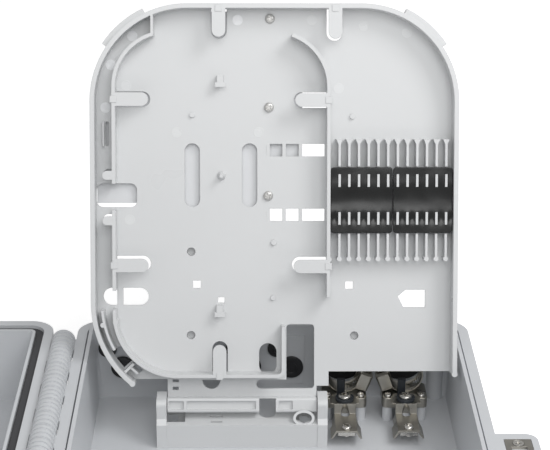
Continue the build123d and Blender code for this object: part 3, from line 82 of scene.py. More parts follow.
# %% Floor
def shown(name, mesh):
    """New object at the origin that shows the mesh."""
    made = bpy.data.objects.new(name, mesh)
    bpy.context.scene.collection.objects.link(made)
    return made


def mesh_object(name, corners, faces):
    """New mesh object at the origin from corners in metres and faces."""
    mesh = bpy.data.meshes.new(name)
    mesh.from_pydata(corners, [], faces)
    return shown(name, mesh)


floor_half, floor_white, floor_rough, floor_gloss, floor_glow = 4.0, 0.93, 0.9, 0.1, 0.45
floor_corners = [(x * floor_half, y * floor_half, 0) for x, y in ((-1, -1), (1, -1), (1, 1), (-1, 1))]
floor = mesh_object("floor", floor_corners, [(0, 1, 2, 3)])
floor_paint = bpy.data.materials.new("floor_paint")
floor_paint.use_nodes = True
floor_shader = floor_paint.node_tree.nodes["Principled BSDF"]
floor_shader.inputs["Base Color"].default_value = (floor_white, floor_white, floor_white, 1)
floor_shader.inputs["Roughness"].default_value = floor_rough
floor_shader.inputs["Specular IOR Level"].default_value = floor_gloss
floor_shader.inputs["Emission Color"].default_value = (1, 1, 1, 1)
camera_sees = floor_paint.node_tree.nodes.new("ShaderNodeLightPath")
glow = floor_paint.node_tree.nodes.new("ShaderNodeMath")
glow.operation = "MULTIPLY"
glow.inputs[1].default_value = floor_glow
floor_paint.node_tree.links.new(camera_sees.outputs["Is Camera Ray"], glow.inputs[0])
floor_paint.node_tree.links.new(glow.outputs["Value"], floor_shader.inputs["Emission Strength"])
floor.data.materials.append(floor_paint)
print("floor:", 2 * floor_half, "m wide")

# %% Light
world_strength = 0.5
world = bpy.data.worlds.new("studio")
world.use_nodes = True
world.node_tree.nodes["Background"].inputs["Color"].default_value = (1, 1, 1, 1)
world.node_tree.nodes["Background"].inputs["Strength"].default_value = world_strength
bpy.context.scene.world = world


def soft_lamp(name, place, aim, size, power):
    """Square area lamp at place, in metres, turned towards aim."""
    data = bpy.data.lights.new(name, "AREA")
    data.size = size
    data.energy = power
    lamp = bpy.data.objects.new(name, data)
    bpy.context.scene.collection.objects.link(lamp)
    lamp.location = place
    lamp.rotation_euler = (Vector(aim) - Vector(place)).to_track_quat("-Z", "Y").to_euler()
    print(f"{name} lamp: {power} W, {size} m wide")


soft_lamp("key", place=(0.2, -1.3, 1.25), aim=(0, 0.1, 0.1), size=1.0, power=11.5)
soft_lamp("side", place=(0.7, -0.3, 1.1), aim=(0, 0.05, 0.05), size=0.5, power=6.0)
bpy.context.scene.view_settings.view_transform = "Standard"

# %% [markdown]
# ## Finishes
# Nearly everything here is moulded plastic or plated steel. Both look alike to the eye in one way: the
# colour is even, but gloss and surface are not. So one recipe serves all of them. A slow noise clouds
# colour and gloss by a few percent, a fine noise gives the grain, and a Bevel node rounds the light on
# sharp edges without touching the mesh. Object coordinates are used, because they are metres on every piece
# and don't depend on a piece's size.

# %% Recipe for a finish
cloud_detail, grain_detail, grain_depth, edge_samples = 4, 2, 0.1, 4
noise_low, noise_high = 0.3, 0.7         # most of a noise texture's values lie between these


def finish(name, colour, roughness, metallic=0.0, cloud=0.03, cloud_scale=35.0, spread=0.06, grain=0.06,
           grain_scale=1900.0, soft_edge=0.3):
    """Material with clouded colour and gloss, fine grain, and softened edges (soft_edge in millimetres)."""
    material = bpy.data.materials.new(name)
    material.use_nodes = True
    nodes, links = material.node_tree.nodes, material.node_tree.links
    shader = nodes["Principled BSDF"]
    shader.inputs["Metallic"].default_value = metallic
    place = nodes.new("ShaderNodeTexCoord")
    clouds = nodes.new("ShaderNodeTexNoise")
    clouds.inputs["Scale"].default_value = cloud_scale
    clouds.inputs["Detail"].default_value = cloud_detail
    links.new(place.outputs["Object"], clouds.inputs["Vector"])
    tint = nodes.new("ShaderNodeMix")
    tint.data_type = "RGBA"
    tint.inputs["A"].default_value = (*[c * (1 - cloud) for c in colour], 1)
    tint.inputs["B"].default_value = (*[min(c * (1 + cloud), 1) for c in colour], 1)
    links.new(clouds.outputs["Fac"], tint.inputs["Factor"])
    links.new(tint.outputs["Result"], shader.inputs["Base Color"])
    gloss = nodes.new("ShaderNodeMapRange")
    gloss.inputs["From Min"].default_value = noise_low
    gloss.inputs["From Max"].default_value = noise_high
    gloss.inputs["To Min"].default_value = roughness - spread
    gloss.inputs["To Max"].default_value = roughness + spread
    links.new(clouds.outputs["Fac"], gloss.inputs["Value"])
    links.new(gloss.outputs["Result"], shader.inputs["Roughness"])
    edges = nodes.new("ShaderNodeBevel")
    edges.samples = edge_samples
    edges.inputs["Radius"].default_value = soft_edge * MM
    grains = nodes.new("ShaderNodeTexNoise")
    grains.inputs["Scale"].default_value = grain_scale
    grains.inputs["Detail"].default_value = grain_detail
    links.new(place.outputs["Object"], grains.inputs["Vector"])
    bump = nodes.new("ShaderNodeBump")
    bump.inputs["Strength"].default_value = grain
    bump.inputs["Distance"].default_value = grain_depth * MM
    links.new(grains.outputs["Fac"], bump.inputs["Height"])
    links.new(edges.outputs["Normal"], bump.inputs["Normal"])
    links.new(bump.outputs["Normal"], shader.inputs["Normal"])
    return material


# %% Plastics and rubber
finishes = {
    "housing": finish("housing_abs", (0.585, 0.60, 0.62), 0.36, cloud=0.03, grain=0.10, grain_scale=1400),
    "tray": finish("tray_abs", (0.64, 0.649, 0.655), 0.34, cloud=0.025, cloud_scale=14, spread=0.08,
                   grain=0.05),
    "panel": finish("panel_abs", (0.66, 0.67, 0.685), 0.42, cloud=0.015, grain=0.05),
    "adapter": finish("adapter_green", (0.02, 0.24, 0.09), 0.32, cloud=0.05, grain=0.03),
    "cap": finish("cap_white", (0.74, 0.74, 0.72), 0.35, cloud=0.02, grain=0.03),
    "black_rubber": finish("black_rubber", (0.016, 0.016, 0.018), 0.42, cloud=0.2, grain=0.12, soft_edge=0.4),
    "seal_rubber": finish("seal_rubber", (0.05, 0.05, 0.054), 0.6, cloud=0.15, grain=0.2, soft_edge=0.4),
    "black_plastic": finish("black_nylon", (0.02, 0.024, 0.03), 0.5, cloud=0.1, grain=0.1),
}

# %% [markdown]
# ### Metals
# The clamp parts are pressed from zinc-plated sheet: bright, a little warm, and mottled where the plating
# took unevenly. The clamps' screws are nickel-plated and smoother, and the tray's screws zinc-plated and
# duller. The lock's cylinder is chromed and nearly a mirror.

# %% Metals
finishes["plated_steel"] = finish("zinc_plated_sheet", (0.37, 0.355, 0.32), 0.34, metallic=1.0, cloud=0.2,
                                  cloud_scale=170, spread=0.08, grain=0.12, grain_scale=2600, soft_edge=0.25)
finishes["screw_steel"] = finish("nickel_plated", (0.58, 0.565, 0.535), 0.24, metallic=1.0, cloud=0.12,
                                 cloud_scale=600, spread=0.08, grain=0.1, grain_scale=3000, soft_edge=0.15)
finishes["tray_screws"] = finish("zinc_plated_screw", (0.62, 0.615, 0.60), 0.5, metallic=1.0, cloud=0.12,
                                 cloud_scale=600, spread=0.08, grain=0.1, grain_scale=3000, soft_edge=0.3)
finishes["chrome"] = finish("chromed_zinc", (0.78, 0.78, 0.79), 0.12, metallic=1.0, cloud=0.04, spread=0.05,
                            grain=0.04, soft_edge=0.2)
print("finishes:", sorted(finishes))

# %% [markdown]
# ### Give every shape of the frame its finish
# The record of the model names a material slot for each node. The node's mesh stays as it is and only its
# slots are filled, so no shape can drift away from the engineering model.

# %% Finish the frame's nodes
slot_of = {entry["node"]: entry["material_slot"] for entry in frame["record"]["subparts"]}
for node_name, node in frame["nodes"].items():
    node.data.materials.clear()
    node.data.materials.append(finishes[slot_of[node_name]])
print("nodes finished:", len(slot_of))

# %% [markdown]
# ## Tools for the finer pieces
# Small things that repeat, such as screws, are made once and then set out by Geometry Nodes, so that one
# change reaches every copy. The result is kept as a plain mesh, because a moving body needs a mesh that
# stays as it is. Screws and grommets find their seats in the solids of the frame that they stand for.

# %% Read the solids of a node
tray_joint = next(joint for joint in frame["joints"] if joint["name"] == "tray_hinge")
tray_lean = radians(20)                  # how far the open tray leans back past upright
tray_frame = Matrix.Translation((0, *tray_joint["pos_m"][1:])) @ Matrix.Rotation(pi / 2 - tray_lean, 4, "X")
upright = Matrix.Identity(4)
same_corner = 0.0005                     # millimetres


def solids_of(node_name, seen_from=upright):
    """Lowest and highest corner of each separate solid of a CAD node, in the coordinates of seen_from."""
    copy = bmesh.new()
    copy.from_mesh(frame["nodes"][node_name].data)
    bmesh.ops.remove_doubles(copy, verts=copy.verts, dist=same_corner * MM)
    copy.verts.index_update()
    into = seen_from.inverted()
    met, boxes = set(), []
    for first in copy.verts:
        if first.index in met:
            continue
        met.add(first.index)
        waiting, corners = [first], []
        while waiting:
            corner = waiting.pop()
            corners.append(into @ corner.co)
            fresh = [edge.other_vert(corner) for edge in corner.link_edges]
            fresh = [other for other in fresh if other.index not in met]
            met.update(other.index for other in fresh)
            waiting += fresh
        boxes.append([Vector(pick(c[i] for c in corners) for i in range(3)) for pick in (min, max)])
    copy.free()
    return boxes


screw_rows = [round(low.y / MM, 1) for low, high in solids_of("tray_screws", tray_frame)]
print("tray screws, from the hinge up in mm:", screw_rows)

# %% Make, smooth and carve
def smooth(piece, sharp_from=30):
    """Smooth shading that leaves edges sharper than sharp_from degrees crisp."""
    piece.data.polygons.foreach_set("use_smooth", [True] * len(piece.data.polygons))
    piece.data.set_sharp_from_angle(angle=radians(sharp_from))
    return piece


def turned(name, outline, sides=40, ring=False):
    """Solid turned about Z from (radius, height) pairs in millimetres, listed upwards along its outside."""
    corners, rows, faces = [], [], []
    for radius, height in outline:
        count = sides if radius > 0 else 1
        rows.append([len(corners) + i for i in range(count)])
        angles = [2 * pi * i / sides for i in range(count)]
        corners += [(radius * MM * cos(angle), radius * MM * sin(angle), height * MM) for angle in angles]
    for low, high in zip(rows, rows[1:] + rows[:1] if ring else rows[1:]):
        for i in range(sides):
            face = [low[i % len(low)], low[(i + 1) % len(low)],
                    high[(i + 1) % len(high)], high[i % len(high)]]
            faces.append(list(dict.fromkeys(face)))
    return mesh_object(name, corners, faces)


def applied(piece):
    """The piece with its modifiers worked into its mesh."""
    bpy.context.view_layer.update()
    piece.data = bpy.data.meshes.new_from_object(piece.evaluated_get(bpy.context.evaluated_depsgraph_get()))
    piece.modifiers.clear()
    return piece


def carve(piece, tool, how="DIFFERENCE"):
    """Cut the tool out of the piece, or add it with UNION, and remove the tool."""
    cut = piece.modifiers.new("cut", "BOOLEAN")
    cut.operation, cut.solver, cut.object = how, "EXACT", tool
    applied(piece)
    bpy.data.objects.remove(tool)
    return piece


def from_bmesh(name, shape):
    """New mesh object at the origin from a bmesh, which is freed."""
    mesh = bpy.data.meshes.new(name)
    shape.to_mesh(mesh)
    shape.free()
    return shown(name, mesh)


def slab(name, low, high, round_off=0.0, steps=2):
    """Box between two corners in millimetres, its edges rounded by round_off."""
    shape = bmesh.new()
    size = [b - a for a, b in zip(low, high)]
    middle = [(a + b) / 2 for a, b in zip(low, high)]
    bmesh.ops.create_cube(shape, matrix=Matrix.Translation(middle) @ Matrix.Diagonal((*size, 1)))
    if round_off:
        bmesh.ops.bevel(shape, geom=shape.edges, offset=round_off, segments=steps, affect="EDGES",
                        profile=0.5)
    shape.transform(Matrix.Scale(MM, 4))
    return from_bmesh(name, shape)


def joined(name, pieces):
    """One mesh object from several."""
    shape = bmesh.new()
    for piece in pieces:
        shape.from_mesh(piece.data)
        bpy.data.objects.remove(piece)
    return from_bmesh(name, shape)


# %% Geometry Nodes: copies of one piece on points
def input_tree(name, inputs):
    """Empty Geometry Nodes tree with the named inputs, and its two end nodes."""
    tree = bpy.data.node_groups.new(name, "GeometryNodeTree")
    tree.interface.new_socket("Geometry", in_out="INPUT", socket_type="NodeSocketGeometry")
    tree.interface.new_socket("Geometry", in_out="OUTPUT", socket_type="NodeSocketGeometry")
    for label, kind in inputs.items():
        tree.interface.new_socket(label, in_out="INPUT", socket_type=kind)
    return tree, tree.nodes.new("NodeGroupInput"), tree.nodes.new("NodeGroupOutput")


def end_tree(tree, start, end, geometry):
    """Close a tree: make its copies real, give them the finish, and send them out."""
    real = tree.nodes.new("GeometryNodeRealizeInstances")
    painted = tree.nodes.new("GeometryNodeSetMaterial")
    tree.links.new(geometry, real.inputs["Geometry"])
    tree.links.new(real.outputs["Geometry"], painted.inputs["Geometry"])
    tree.links.new(start.outputs["Finish"], painted.inputs["Material"])
    tree.links.new(painted.outputs["Geometry"], end.inputs["Geometry"])


def grown(piece, tree, values):
    """Run a tree on a piece with the given values for its named inputs, and keep the result as its mesh."""
    run = piece.modifiers.new(tree.name, "NODES")
    run.node_group = tree
    for item in tree.interface.items_tree:
        if item.name in values:
            run[item.identifier] = values[item.name]
    return applied(piece)


copies_tree, start, end = input_tree("copies_on_points", {
    "Copy": "NodeSocketObject", "Lean": "NodeSocketFloat", "Random turn": "NodeSocketFloat",
    "Seed": "NodeSocketInt", "Finish": "NodeSocketMaterial"})
nodes, links = copies_tree.nodes, copies_tree.links
copied = nodes.new("GeometryNodeObjectInfo")
spots = nodes.new("GeometryNodeInstanceOnPoints")
copy_size = nodes.new("GeometryNodeInputNamedAttribute")
copy_size.data_type = "FLOAT_VECTOR"
copy_size.inputs["Name"].default_value = "size"
chance = nodes.new("FunctionNodeRandomValue")
chance_most, chance_value = chance.inputs[3], chance.outputs[1]      # the sockets of its float kind
turn = nodes.new("ShaderNodeCombineXYZ")
lean = nodes.new("ShaderNodeCombineXYZ")
turned_spots = nodes.new("GeometryNodeRotateInstances")
links.new(start.outputs["Geometry"], spots.inputs["Points"])
links.new(start.outputs["Copy"], copied.inputs["Object"])
links.new(copied.outputs["Geometry"], spots.inputs["Instance"])
links.new(copy_size.outputs["Attribute"], spots.inputs["Scale"])
links.new(start.outputs["Lean"], lean.inputs["X"])
links.new(lean.outputs["Vector"], spots.inputs["Rotation"])
links.new(start.outputs["Random turn"], chance_most)
links.new(start.outputs["Seed"], chance.inputs["Seed"])
links.new(chance_value, turn.inputs["Z"])
links.new(spots.outputs["Instances"], turned_spots.inputs["Instances"])
links.new(turn.outputs["Vector"], turned_spots.inputs["Rotation"])
end_tree(copies_tree, start, end, turned_spots.outputs["Instances"])


def set_out(name, copy, places, surface, lean_by=0.0, random_turn=0.0, seed=1, sizes=None):
    """Copies of one piece at the places, each scaled by its size, as one mesh. The single is removed."""
    points = mesh_object(name, places, [])
    size = points.data.attributes.new("size", "FLOAT_VECTOR", "POINT")
    for i in range(len(places)):
        size.data[i].vector = sizes[i] if sizes else (1, 1, 1)
    grown(points, copies_tree, {"Copy": copy, "Lean": lean_by, "Random turn": random_turn, "Seed": seed,
                                "Finish": surface})
    bpy.data.objects.remove(copy)
    print(f"{name}: {len(places)} copies, {len(points.data.polygons)} faces")
    return points


def stand_in(piece, body, slot, *replaced):
    """Let a piece ride on a body, take its finish from a slot, and stand for CAD nodes."""
    if not piece.data.materials:
        piece.data.materials.append(finishes[slot])
    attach(piece, body)
    if replaced:
        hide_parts(*replaced)


# %% [markdown]
# ## Screws
# Real pan-head screws have a domed head with a sunk cross and never stop at the same angle. One screw of
# each size is turned from an outline, its cross is cut by a boolean, and the tree sets a copy on every
# screw's seat with a random turn. The seed keeps that turn the same on every run.

# %% Pan-head screws
dome_from, dome_steps, dome_fullness = 0.35, 8, 0.6
cross_reach, cross_arm, cross_floor = 0.6, 0.17, 0.3     # shares of the head's radius, radius and height


def pan_head(name, head_r, head_h, shank_r, shank_l):
    """Pan-head screw about Z, its head standing on height 0."""
    rises = [i * pi / 2 / dome_steps for i in range(1, dome_steps)]
    dome = [(head_r * cos(rise) ** dome_fullness, head_h * (dome_from + (1 - dome_from) * sin(rise)))
            for rise in rises]
    shank = [(0, -shank_l), (shank_r * 0.8, -shank_l), (shank_r, -shank_l + 0.3 * shank_r), (shank_r, -0.05),
             (shank_r, 0)]
    rim = [(head_r * 0.97, 0), (head_r, 0.12 * head_h), (head_r, dome_from * head_h)]
    screw = turned(name, [*shank, *rim, *dome, (0, head_h)])
    reach, arm, floor_at = head_r * cross_reach, head_r * cross_arm, head_h * cross_floor
    for half_x, half_y in ((reach, arm), (arm, reach)):
        carve(screw, slab("cross", (-half_x, -half_y, floor_at), (half_x, half_y, head_h + 1)))
    return smooth(screw)


# for each node: body, head radius, head height, shank radius, shank length, and the plane that it stands on
screw_sizes = {
    "plate_screws": ("base", 2.2, 1.4, 1.2, 10.0, upright),
    "clamp_screws": ("base", 3.4, 1.9, 1.9, 12.0, upright),
    "channel_screws": ("base", 2.6, 1.8, 1.7, 4.8, upright),
    "bracket_screws": ("base", 3.2, 2.2, 1.5, 4.9, upright),
    "tray_screws": ("tray", 2.5, 1.7, 1.2, 6.3, tray_frame),
}
for seed, (node_name, (body, head_r, head_h, shank_r, shank_l, plane)) in enumerate(screw_sizes.items()):
    seats = [plane @ Vector(((low.x + high.x) / 2, (low.y + high.y) / 2, high.z - head_h * MM))
             for low, high in solids_of(node_name, plane)]
    screw = pan_head("screw", head_r, head_h, shank_r, shank_l)
    screws = set_out(node_name.replace("screws", "screw_set"), screw, seats,
                     finishes.get(node_name, finishes["screw_steel"]), lean_by=plane.to_euler().x,
                     random_turn=pi, seed=seed)
    stand_in(screws, body, "screw_steel", node_name)

# %% [markdown]
# ## Rubber grommets
# A drop-cable grommet is a stepped rubber cup with a thin floor that the installer pierces. A feeder
# grommet is a thick ring with sealing ribs in its bore. Each is turned from half of its cross-section,
# which is how the mould for the real one is cut, and set out along the wall by the same tree. The small
# drop grommets are the large one scaled across its axis only, because the wall that they sit in is equally
# thick for both.

# %% Grommets
into_wall = -pi / 2                      # turns a piece's Z towards the outside of the entry wall
wall_in, wall_out = -2.3, 2.3            # faces of the port wall, from the grommet's middle
drop_r, drop_lip, drop_fit, drop_seed = 5.0, 1.1, 0.99, 11
drop_inner = [
    (0, wall_in - 1.4), (drop_r * 0.55, wall_in - 1.4), (drop_r * 0.6, wall_in - 1.9),
    (drop_r * 0.95, wall_in - 1.95), (drop_r + drop_lip * 0.7, wall_in - 1.8),
    (drop_r + drop_lip, wall_in - 1.3), (drop_r + drop_lip, wall_in - 0.4),
    (drop_r + drop_lip * 0.7, wall_in)]
drop_neck = [(drop_r - 0.1, wall_in), (drop_r - 0.1, wall_out)]
drop_outer = [
    (drop_r + drop_lip * 0.7, wall_out), (drop_r + drop_lip, wall_out + 0.4),
    (drop_r + drop_lip, wall_out + 1.2), (drop_r + drop_lip * 0.6, wall_out + 1.8),
    (drop_r * 0.95, wall_out + 1.9), (drop_r * 0.86, wall_out + 1.2), (drop_r * 0.78, wall_out + 1.1),
    (drop_r * 0.72, wall_out + 0.2), (drop_r * 0.62, wall_out), (drop_r * 0.58, wall_out - 0.9),
    (0, wall_out - 1.0)]
drop_boxes = solids_of("drop_grommets")
drop_sizes = [(high.x - low.x) / MM / 2 for low, high in drop_boxes]
drop_scales = [(size / (drop_r + drop_lip) * drop_fit, size / (drop_r + drop_lip) * drop_fit, 1)
               for size in drop_sizes]
drop = smooth(turned("drop", [*drop_inner, *drop_neck, *drop_outer]))
drop_set = set_out("drop_grommet_set", drop, [(low + high) / 2 for low, high in drop_boxes],
                   finishes["black_rubber"], lean_by=into_wall, random_turn=pi, seed=drop_seed,
                   sizes=drop_scales)
stand_in(drop_set, "base", "black_rubber", "drop_grommets")

main_bore, main_body, main_flange, main_sides, main_seed = 6.6, 10.7, 12.5, 56, 12
seal_first, seal_step, seal_count, seal_depth = wall_in - 1.2, 1.4, 6, 0.9       # ribs in the bore
seal_heights = [seal_first + i * seal_step for i in range(seal_count)]
bore = [step for z in reversed(seal_heights)
        for step in ((main_bore + seal_depth, z + 0.7), (main_bore, z + 0.15), (main_bore, z - 0.15))]
main_outline = [
    (main_bore + seal_depth, wall_in - 1.95), (main_flange - 0.6, wall_in - 1.95),
    (main_flange, wall_in - 1.4), (main_flange, wall_in - 0.5), (main_flange - 0.5, wall_in),
    (main_body, wall_in), (main_body, wall_out),
    (main_flange - 0.5, wall_out), (main_flange, wall_out + 0.5), (main_flange, wall_out + 1.4),
    (main_flange - 0.6, wall_out + 1.95), (main_bore + 2.0, wall_out + 1.95),
    (main_bore + seal_depth, wall_out + 1.5), *bore]
feeder = smooth(turned("feeder", main_outline, main_sides, ring=True))
main_places = [(low + high) / 2 for low, high in solids_of("main_grommets")]
main_set = set_out("feeder_grommet_set", feeder, main_places, finishes["black_rubber"], lean_by=into_wall,
                   random_turn=pi, seed=main_seed)
stand_in(main_set, "base", "black_rubber", "main_grommets")

# %% [markdown]
# ## Rubber pads over the splice ribs
# Each pad is a soft sheet pulled over the rib tops through two rows of slots. Held there, it hangs in a
# shallow hollow between the rows, and dimples between the ribs along the lower row. The sheet is a fine
# grid whose height follows those two forms and a slow noise. Solidify gives it its thickness, and Geometry
# Nodes cut the slots with a grid of cutters, so that the pitch and number of the slots stay plain numbers.

# %% A tree that cuts rows of slots
slots_tree, start, end = input_tree("rows_of_slots", {
    "Middle": "NodeSocketVector", "Across": "NodeSocketFloat", "Apart": "NodeSocketFloat",
    "Count": "NodeSocketInt", "Rows": "NodeSocketInt", "Slot": "NodeSocketVector",
    "Finish": "NodeSocketMaterial"})
nodes, links = slots_tree.nodes, slots_tree.links
slot_points = nodes.new("GeometryNodeMeshGrid")
slot_shift = nodes.new("GeometryNodeTransform")
slot_cutter = nodes.new("GeometryNodeMeshCube")
slot_copies = nodes.new("GeometryNodeInstanceOnPoints")
slots_real = nodes.new("GeometryNodeRealizeInstances")
slots_cut = nodes.new("GeometryNodeMeshBoolean")
slot_grid = {"Across": "Size X", "Apart": "Size Y", "Count": "Vertices X", "Rows": "Vertices Y"}
for label, socket in slot_grid.items():
    links.new(start.outputs[label], slot_points.inputs[socket])
links.new(slot_points.outputs["Mesh"], slot_shift.inputs["Geometry"])
links.new(start.outputs["Middle"], slot_shift.inputs["Translation"])
links.new(slot_shift.outputs["Geometry"], slot_copies.inputs["Points"])
links.new(start.outputs["Slot"], slot_cutter.inputs["Size"])
links.new(slot_cutter.outputs["Mesh"], slot_copies.inputs["Instance"])
links.new(slot_copies.outputs["Instances"], slots_real.inputs["Geometry"])
links.new(start.outputs["Geometry"], slots_cut.inputs["Mesh 1"])
links.new(slots_real.outputs["Geometry"], slots_cut.inputs["Mesh 2"])
end_tree(slots_tree, start, end, slots_cut.outputs["Mesh"])

# %% Pads
pad_solid_t, pad_t, pad_corner, pad_rim, pad_step = 1.3, 0.85, 1.6, 0.35, 0.45
pad_hollow, pad_dimple, dimple_reach, pad_same_corner = 0.42, 0.4, 2.4, 0.02
pad_wander, wander_across, wander_along, wander_seed = 0.12, 9, 7, 0.5
rib_first, rib_pitch, ribs_per_pad = 33.5, 5.0, 6
slot_w, slot_l, slot_high, slot_low = 1.55, 6.8, 117.1, 97.6
slot_middle, slot_apart = (slot_high + slot_low) / 2, slot_high - slot_low
finishes["pad_rubber"] = finish("pad_rubber", (0.005, 0.0055, 0.0055), 0.22, cloud=0.35, cloud_scale=70,
                                spread=0.07, grain=0.05, grain_scale=1200, soft_edge=0.4)


def pad_height(u, v, first_rib, rise):
    """Top of a pad above the tray's floor: hollow between slot rows, dimpled between ribs, a bit uneven."""
    off_middle = abs(v - slot_middle) / (slot_apart / 2 - slot_l * 0.1)
    hollow = cos(pi / 2 * min(off_middle, 1)) ** 2
    between_ribs = (1 - cos(2 * pi * (u - first_rib) / rib_pitch)) / 2
    low_row = exp(-((v - slot_low) / dimple_reach) ** 2)
    wander = pad_wander * (noise.noise(Vector((u / wander_across, v / wander_along, wander_seed))) - 0.5)
    return rise + pad_solid_t + wander - pad_hollow * hollow - pad_dimple * between_ribs * low_row


def pad_sheet(name, low, high, first_rib):
    """Pad between two corners of its solid, in the tray's own coordinates and millimetres."""
    across, along = [round((b - a) / pad_step) for a, b in ((low.x, high.x), (low.y, high.y))]
    corners, faces = [], []
    for j in range(along + 1):
        for i in range(across + 1):
            u = low.x + (high.x - low.x) * i / across
            v = low.y + (high.y - low.y) * j / along
            bend_u = min(max(u, low.x + pad_corner), high.x - pad_corner)
            bend_v = min(max(v, low.y + pad_corner), high.y - pad_corner)
            out = Vector((u - bend_u, v - bend_v))
            if out.length > pad_corner:
                u, v = Vector((bend_u, bend_v)) + out.normalized() * pad_corner
            corners.append(Vector((u, v, pad_height(u, v, first_rib, low.z))) * MM)
    for j in range(along):
        row = j * (across + 1)
        faces += [(k, k + 1, k + across + 2, k + across + 1) for k in range(row, row + across)]
    sheet = mesh_object(name, corners, faces)
    merged = bmesh.new()
    merged.from_mesh(sheet.data)
    bmesh.ops.remove_doubles(merged, verts=merged.verts, dist=pad_same_corner * MM)
    merged.to_mesh(sheet.data)
    merged.free()
    wall = sheet.modifiers.new("wall", "SOLIDIFY")
    wall.thickness, wall.offset = pad_t * MM, -1
    rim = sheet.modifiers.new("rim", "BEVEL")
    rim.width, rim.segments = pad_rim * MM, 3
    rim.limit_method, rim.angle_limit = "ANGLE", radians(50)
    return applied(sheet)


for number, side in enumerate(("left", "right")):
    low, high = solids_of(f"sleeve_retainer_{side}", tray_frame)[0]
    first = rib_first + ribs_per_pad * number * rib_pitch
    slots_l = (ribs_per_pad - 1) * rib_pitch
    pad = pad_sheet(f"rubber_pad_{side}", low / MM, high / MM, first)
    grown(pad, slots_tree, {
        "Middle": Vector((first + slots_l / 2, slot_middle, low.z / MM + pad_solid_t)) * MM,
        "Across": slots_l * MM, "Apart": slot_apart * MM, "Count": ribs_per_pad, "Rows": 2,
        "Slot": Vector((slot_w, slot_l, 4 * pad_solid_t)) * MM, "Finish": finishes["pad_rubber"]})
    pad.data.transform(tray_frame)
    smooth(pad, sharp_from=50)
    stand_in(pad, "tray", "black_rubber", f"sleeve_retainer_{side}")
    print(pad.name, len(pad.data.polygons), "faces")

# %% [markdown]
# ## Adapters and their dust caps
# The adapters stand in one row on the shelf behind the tray. One adapter and one cap are made with care,
# and a tree lays out the row from a start, a step and a count, as the real row is laid out on its panel.

# %% A tree that lays out a row
row_tree, start, end = input_tree("row_of_copies", {
    "Copy": "NodeSocketObject", "Count": "NodeSocketInt", "Start": "NodeSocketVector",
    "Step": "NodeSocketVector", "Finish": "NodeSocketMaterial"})
nodes, links = row_tree.nodes, row_tree.links
row_copied = nodes.new("GeometryNodeObjectInfo")
row_line = nodes.new("GeometryNodeMeshLine")
row_spots = nodes.new("GeometryNodeInstanceOnPoints")
links.new(start.outputs["Copy"], row_copied.inputs["Object"])
links.new(start.outputs["Count"], row_line.inputs["Count"])
links.new(start.outputs["Start"], row_line.inputs["Start Location"])
links.new(start.outputs["Step"], row_line.inputs["Offset"])
links.new(row_line.outputs["Mesh"], row_spots.inputs["Points"])
links.new(row_copied.outputs["Geometry"], row_spots.inputs["Instance"])
end_tree(row_tree, start, end, row_spots.outputs["Instances"])

row_start, row_step, row_count = (-82.1, 150.0, -19.3), (12.4, 0, 0), 8      # openings of the panel's shelf


def tray_row(name, copy, raised, surface):
    """Copies at every opening of the shelf, raised along the tray by millimetres, as one mesh in place."""
    row = mesh_object(name, [(0, 0, 0)], [])
    grown(row, row_tree, {
        "Copy": copy, "Count": row_count, "Start": (Vector(row_start) + Vector((0, raised, 0))) * MM,
        "Step": Vector(row_step) * MM, "Finish": surface})
    row.data.transform(tray_frame)
    bpy.data.objects.remove(copy)
    print(f"{name}: {row_count} copies, {len(row.data.polygons)} faces")
    return smooth(row)


# %% Adapters
adapter_w, adapter_l, adapter_body, adapter_wall, bore_l = 9.4, 27.0, 12.8, 1.0, 10.0
flange_w, flange_t, flange_seat, flange_hole_r, flange_hole_at = 22.0, 1.6, 0.75, 1.15, 8.9
clip_depth, clip_near, clip_far, clip_half = 0.35, 4.0, 11.0, 2.6
adapter = slab("adapter", (-adapter_w / 2, -adapter_l / 2, -adapter_body / 2),
               (adapter_w / 2, adapter_l / 2, adapter_body / 2), round_off=0.45)
flange = slab("flange", (-adapter_w / 2, flange_seat, -flange_w / 2),
              (adapter_w / 2, flange_seat + flange_t, flange_w / 2), round_off=0.4)
for side in (-1, 1):
    hole = turned("hole", [(0, -2), (flange_hole_r, -2), (flange_hole_r, 2), (0, 2)], sides=24)
    hole_at = Vector((0, flange_seat + flange_t / 2, side * flange_hole_at)) * MM
    hole.data.transform(Matrix.Translation(hole_at) @ Matrix.Rotation(pi / 2, 4, "X"))
    carve(flange, hole)
carve(adapter, flange, "UNION")
for end_side in (-1, 1):
    near, far = sorted((end_side * (adapter_l / 2 + 1), end_side * (adapter_l / 2 - bore_l)))
    carve(adapter, slab("bore", (-adapter_w / 2 + adapter_wall, near, -adapter_body / 2 + adapter_wall),
                        (adapter_w / 2 - adapter_wall, far, adapter_body / 2 - adapter_wall)))
    for face in (-1, 1):
        low_u, high_u = face * adapter_w / 2 - clip_depth, face * adapter_w / 2 + clip_depth
        low_v, high_v = sorted((end_side * clip_near, end_side * clip_far))
        carve(adapter, slab("clip_seat", (low_u, low_v, -clip_half), (high_u, high_v, clip_half)))
adapter_row = tray_row("adapter_row", adapter, 0, finishes["adapter"])
stand_in(adapter_row, "tray", "adapter", "sc_adapters")

